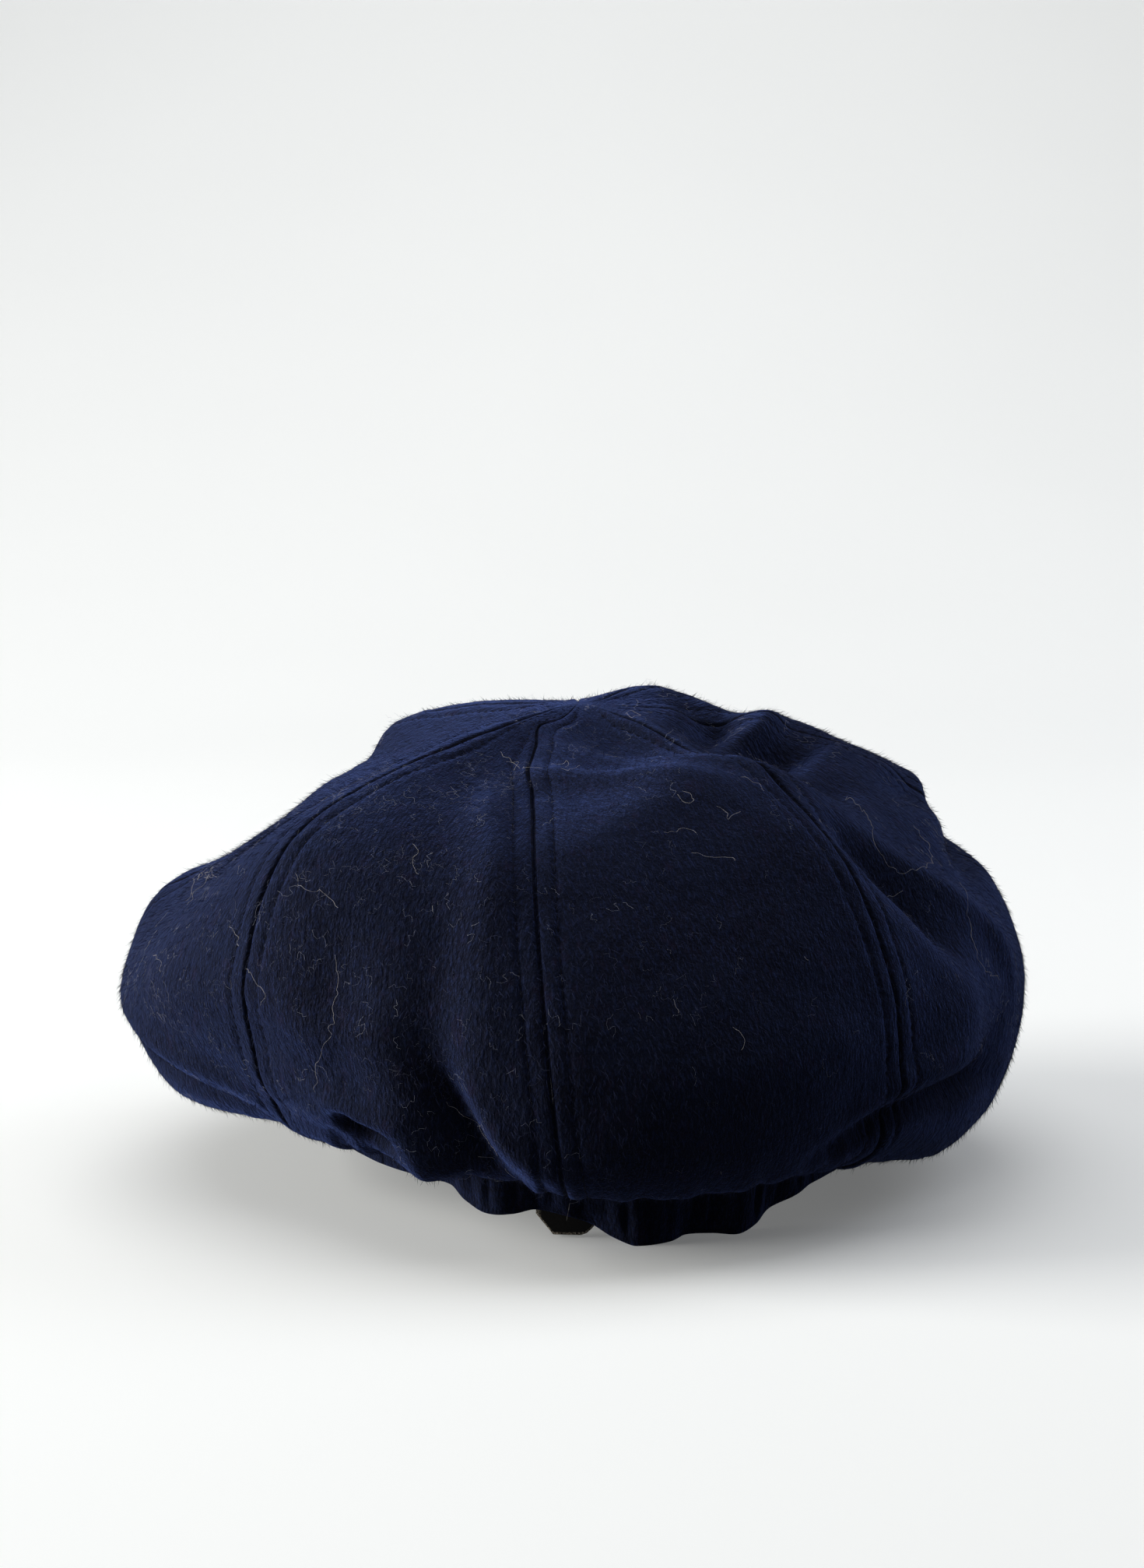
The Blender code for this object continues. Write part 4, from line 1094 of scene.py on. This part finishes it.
class CapColours(bpy.types.PropertyGroup):
    """Colours of the finishes, as sRGB hex values."""
    ground: tint("Ground", "Dark ground of the wool", "#0A0A12")
    body: tint("Body", "Main colour of the wool", "#0F1321")
    nap: tint("Nap", "Paler hairs of the nap", "#212947")
    tinge: tint("Tinge", "Brownish hairs in the mixture", "#1F1729")
    bloom: tint("Bloom", "Tint of the nap seen edge on", "#6480DA")
    hair_dark: tint("Dark hair", "Darkest raised hair", "#0E1020")
    hair_pale: tint("Pale hair", "Palest raised hair", "#2E3553")
    lint_dark: tint("Dark lint", "Darkest loose fibre", "#3C4366")
    lint_pale: tint("Pale lint", "Palest loose fibre", "#C4C8DA")
    strand: tint("Strands", "The long pale strays", "#C9C6C8")
    thread: tint("Thread", "Sewing thread", "#090B18")
    leather: tint("Leather", "Face of the sweatband", "#060506")
    leather_worn: tint("Worn leather", "Rubbed places", "#0C0B0B")
    # cut edge: paler fibres, brightened further as a painted highlight for light from below
    leather_cut_and_highlight: tint("Cut leather", "Raw cut edge", "#A69D8F")
    paper: tint("Paper", "Background paper", "#EEF0F0")


class CAP_OT_crown(bpy.types.Operator):
    """Build the eight panels of the crown"""
    bl_idname = "cap.crown"
    bl_label = "Crown panels"

    def execute(self, context):
        for index in range(PANELS):
            ride(crown_panel(index), "wool", "crown_panel_%d" % (index + 1))
        return {"FINISHED"}


class CAP_OT_band(bpy.types.Operator):
    """Build the plain band and the gathered back"""
    bl_idname = "cap.band"
    bl_label = "Band and gathered back"

    def execute(self, context):
        ride(band(), "band_wool", "band")
        ride(gathered_back(), "band_wool", "gathered_back")
        return {"FINISHED"}


class CAP_OT_sweatband(bpy.types.Operator):
    """Build the leather sweatband"""
    bl_idname = "cap.sweatband"
    bl_label = "Sweatband"

    def execute(self, context):
        ride(sweatband(), "leather", "sweatband")
        return {"FINISHED"}


class CAP_OT_peak(bpy.types.Operator):
    """Build the stiffened peak"""
    bl_idname = "cap.peak"
    bl_label = "Peak"

    def execute(self, context):
        ride(peak(), "peak_wool", "peak")
        return {"FINISHED"}


class CAP_OT_stitching(bpy.types.Operator):
    """Sew the topstitching of the crown, the band and the peak"""
    bl_idname = "cap.stitching"
    bl_label = "Stitching"

    def execute(self, context):
        sizes, colours = context.scene.cap_settings, context.scene.cap_colours
        lines, normals = [], []
        for index in range(PANELS):
            outer, _, out, _, _ = panel_grid(index)
            for column in (STITCH_PLACE, outer.shape[1] - 1 - STITCH_PLACE):
                lines.append(outer[14:-8, column])
                normals.append(out[14:-8, column])
        angle = np.linspace(GATHER_TO + 2.0, GATHER_FROM + 358.0, 220)
        a = np.radians(angle)
        band_line = band_point(angle, BAND_STITCHES_UP, -0.02 * MM) + MIDDLE
        across = np.sin(np.linspace(-1.42, 1.42, 200))
        share = 1.0 - PEAK_STITCHES_IN / peak_places(across)[1]
        across, share = across[share > 0.05], share[share > 0.05]
        peak_line = peak_surface(across, share[:, None], 1.0)[:, 0] - np.array([0.0, 0.0, 0.3 * MM]) + MIDDLE
        groups = (
            ("crown", "wool", lines, normals),
            ("band", "band_wool", [band_line], [np.stack([np.sin(a), -np.cos(a), 0.0 * a], -1)]),
            ("peak", "peak_wool", [peak_line], [np.tile([0.0, 0.0, 1.0], (len(peak_line), 1))]),
        )
        tree = geometry_tree("stitches", stitches, "Pitch", "Stitch Length", "Thread Radius")
        values = {"Pitch": sizes.stitch_pitch, "Stitch Length": 0.62 * sizes.stitch_pitch,
                  "Thread Radius": sizes.thread_radius,
                  "Material": material("navy_sewing_thread", thread, colours.thread)}
        for name, slot, lines, normals in groups:
            source = lines_object(name + "_stitching_lines", lines, normals)
            ride(grow(source, name + "_stitching", *tree, values), slot)
        return {"FINISHED"}


class CAP_OT_nap(bpy.types.Operator):
    """Raise the short hairs of the nap on all the wool"""
    bl_idname = "cap.nap"
    bl_label = "Nap"

    def execute(self, context):
        sizes, colours = context.scene.cap_settings, context.scene.cap_colours
        tree = geometry_tree("nap", nap, "Density", "Length", "Thickness", "Stand", "Seed")
        values = {"Density": sizes.nap_density, "Length": sizes.nap_length, "Thickness": NAP_THICKNESS,
                  "Stand": NAP_STAND,
                  "Material": material("raised_wool_hair", fibre, colours.hair_dark, colours.hair_pale)}
        groups = (("nap_back", (3, 4), 1.0), ("nap_right", (5, 6), 0.8), ("nap_left", (1, 2), 0.8),
                  ("nap_front", (7, 0), 0.5))
        for name, indexes, share in groups:
            source = panel_sheet(name + "_sheet", indexes, 0.95, lambda index, points: share)
            ride(grow(source, name, *tree, {**values, "Seed": 40 + indexes[0]}), "wool")
        return {"FINISHED"}


class CAP_OT_lint(bpy.types.Operator):
    """Scatter the curled loose fibres that cling to the wool"""
    bl_idname = "cap.lint"
    bl_label = "Loose fibres"

    def execute(self, context):
        sizes, colours = context.scene.cap_settings, context.scene.cap_colours
        tree = geometry_tree("loose fibres", lint, "Density", "Length", "Thickness", "Curl", "Seed")
        values = {"Density": sizes.lint_density, "Length": sizes.lint_length, "Thickness": LINT_THICKNESS,
                  "Curl": LINT_CURL, "Seed": 17,
                  "Material": material("loose_wool_fibre", fibre, colours.lint_dark, colours.lint_pale)}
        for name, indexes in (("loose_fibres_back", (2, 3, 4, 5)), ("loose_fibres_front", (6, 7, 0, 1))):
            source = panel_sheet(name + "_sheet", indexes, 0.93, lint_amount)
            ride(grow(source, name, *tree, values), "wool")
        lines = [stray_line(stray) for stray in STRAYS]
        lines.append(np.linspace(THREAD_END[0], THREAD_END[1], 6) * MM + MIDDLE)
        tree = geometry_tree("strands", strands, "Thickness")
        finish = material("pale_stray_hair", fibre, colours.strand, colours.strand)
        values = {"Thickness": STRAY_THICKNESS, "Material": finish}
        ride(grow(lines_object("stray_lines", lines), "long_strays", *tree, values), "wool")
        return {"FINISHED"}


class CAP_OT_stage(bpy.types.Operator):
    """Set the paper, the lights and the camera"""
    bl_idname = "cap.stage"
    bl_label = "Stage"

    def execute(self, context):
        scene = context.scene
        scene.view_settings.view_transform = "Standard"
        # the paper lies flat, curves up behind the cap and stands
        turn = np.radians(np.linspace(0.0, 90.0, 33))
        curve_up = [(0.9 + 2.2 * np.sin(t), 2.2 - 2.2 * np.cos(t)) for t in turn]
        outline = [(-3.0, 0.0)] + curve_up + [(3.1, 4.0)]
        points = [(x, y, z) for x in (-3.2, 3.2) for y, z in outline]
        count = len(outline)
        faces = [(k, k + count, k + count + 1, k + 1) for k in range(count - 1)]
        finish = material("seamless_paper", paper, scene.cap_colours.paper)
        floor = piece_from("background_paper", points, faces, finish)
        floor.visible_diffuse = False       # keeps the white paper from filling the dark side of the cap
        scene.world = scene.world or bpy.data.worlds.new("studio")
        scene.world.use_nodes = True
        tree = scene.world.node_tree
        give(tree, tree.nodes["Background"], {"Color": linear("#EDEDEE"), "Strength": 0.08})
        for name, place, target, size, spread, power, colour in LIGHTS:
            light = bpy.data.lights.new(name, "AREA")
            light.shape = "SQUARE"
            light.size = size
            light.spread = np.radians(spread)
            light.energy = power
            light.color = linear(colour)[:3]
            lamp = bpy.data.objects.new(name, light)
            lamp.location = place
            lamp.rotation_euler = (lamp.location - Vector(target)).to_track_quat("Z", "Y").to_euler()
            context.collection.objects.link(lamp)
        view = bpy.data.cameras.new("camera")
        view.lens = CAMERA_LENS
        view.sensor_width = CAMERA_SENSOR
        camera = bpy.data.objects.new("camera", view)
        camera.location = (MIDDLE[0], MIDDLE[1] - CAMERA_BACK, CAMERA_UP)
        camera.rotation_euler = (np.radians(CAMERA_TURN), 0.0, 0.0)
        context.collection.objects.link(camera)
        scene.camera = camera
        return {"FINISHED"}


class CAP_PT_panel(bpy.types.Panel):
    """The cap's operators, sizes and colours"""
    bl_idname = "CAP_PT_panel"
    bl_label = "Cap"
    bl_space_type = "VIEW_3D"
    bl_region_type = "UI"
    bl_category = "Cap"

    def draw(self, context):
        for operator in OPERATORS:
            self.layout.operator(operator.bl_idname)
        for group in (context.scene.cap_settings, context.scene.cap_colours):
            box = self.layout.box()
            for name in group.__annotations__:
                box.prop(group, name)


OPERATORS = (CAP_OT_crown, CAP_OT_band, CAP_OT_sweatband, CAP_OT_peak, CAP_OT_stitching, CAP_OT_nap,
             CAP_OT_lint, CAP_OT_stage)
CLASSES = (CapSettings, CapColours) + OPERATORS + (CAP_PT_panel,)


def register():
    for cls in CLASSES:
        bpy.utils.register_class(cls)
    bpy.types.Scene.cap_settings = bpy.props.PointerProperty(type=CapSettings)
    bpy.types.Scene.cap_colours = bpy.props.PointerProperty(type=CapColours)


def unregister():
    del bpy.types.Scene.cap_colours
    del bpy.types.Scene.cap_settings
    for cls in reversed(CLASSES):
        bpy.utils.unregister_class(cls)


def main():
    register()
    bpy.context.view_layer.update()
    bpy.ops.cap.crown()
    bpy.ops.cap.band()
    bpy.ops.cap.sweatband()
    bpy.ops.cap.peak()
    bpy.ops.cap.stitching()
    bpy.ops.cap.nap()
    bpy.ops.cap.lint()
    bpy.ops.cap.stage()


if __name__ == "__main__":
    main()
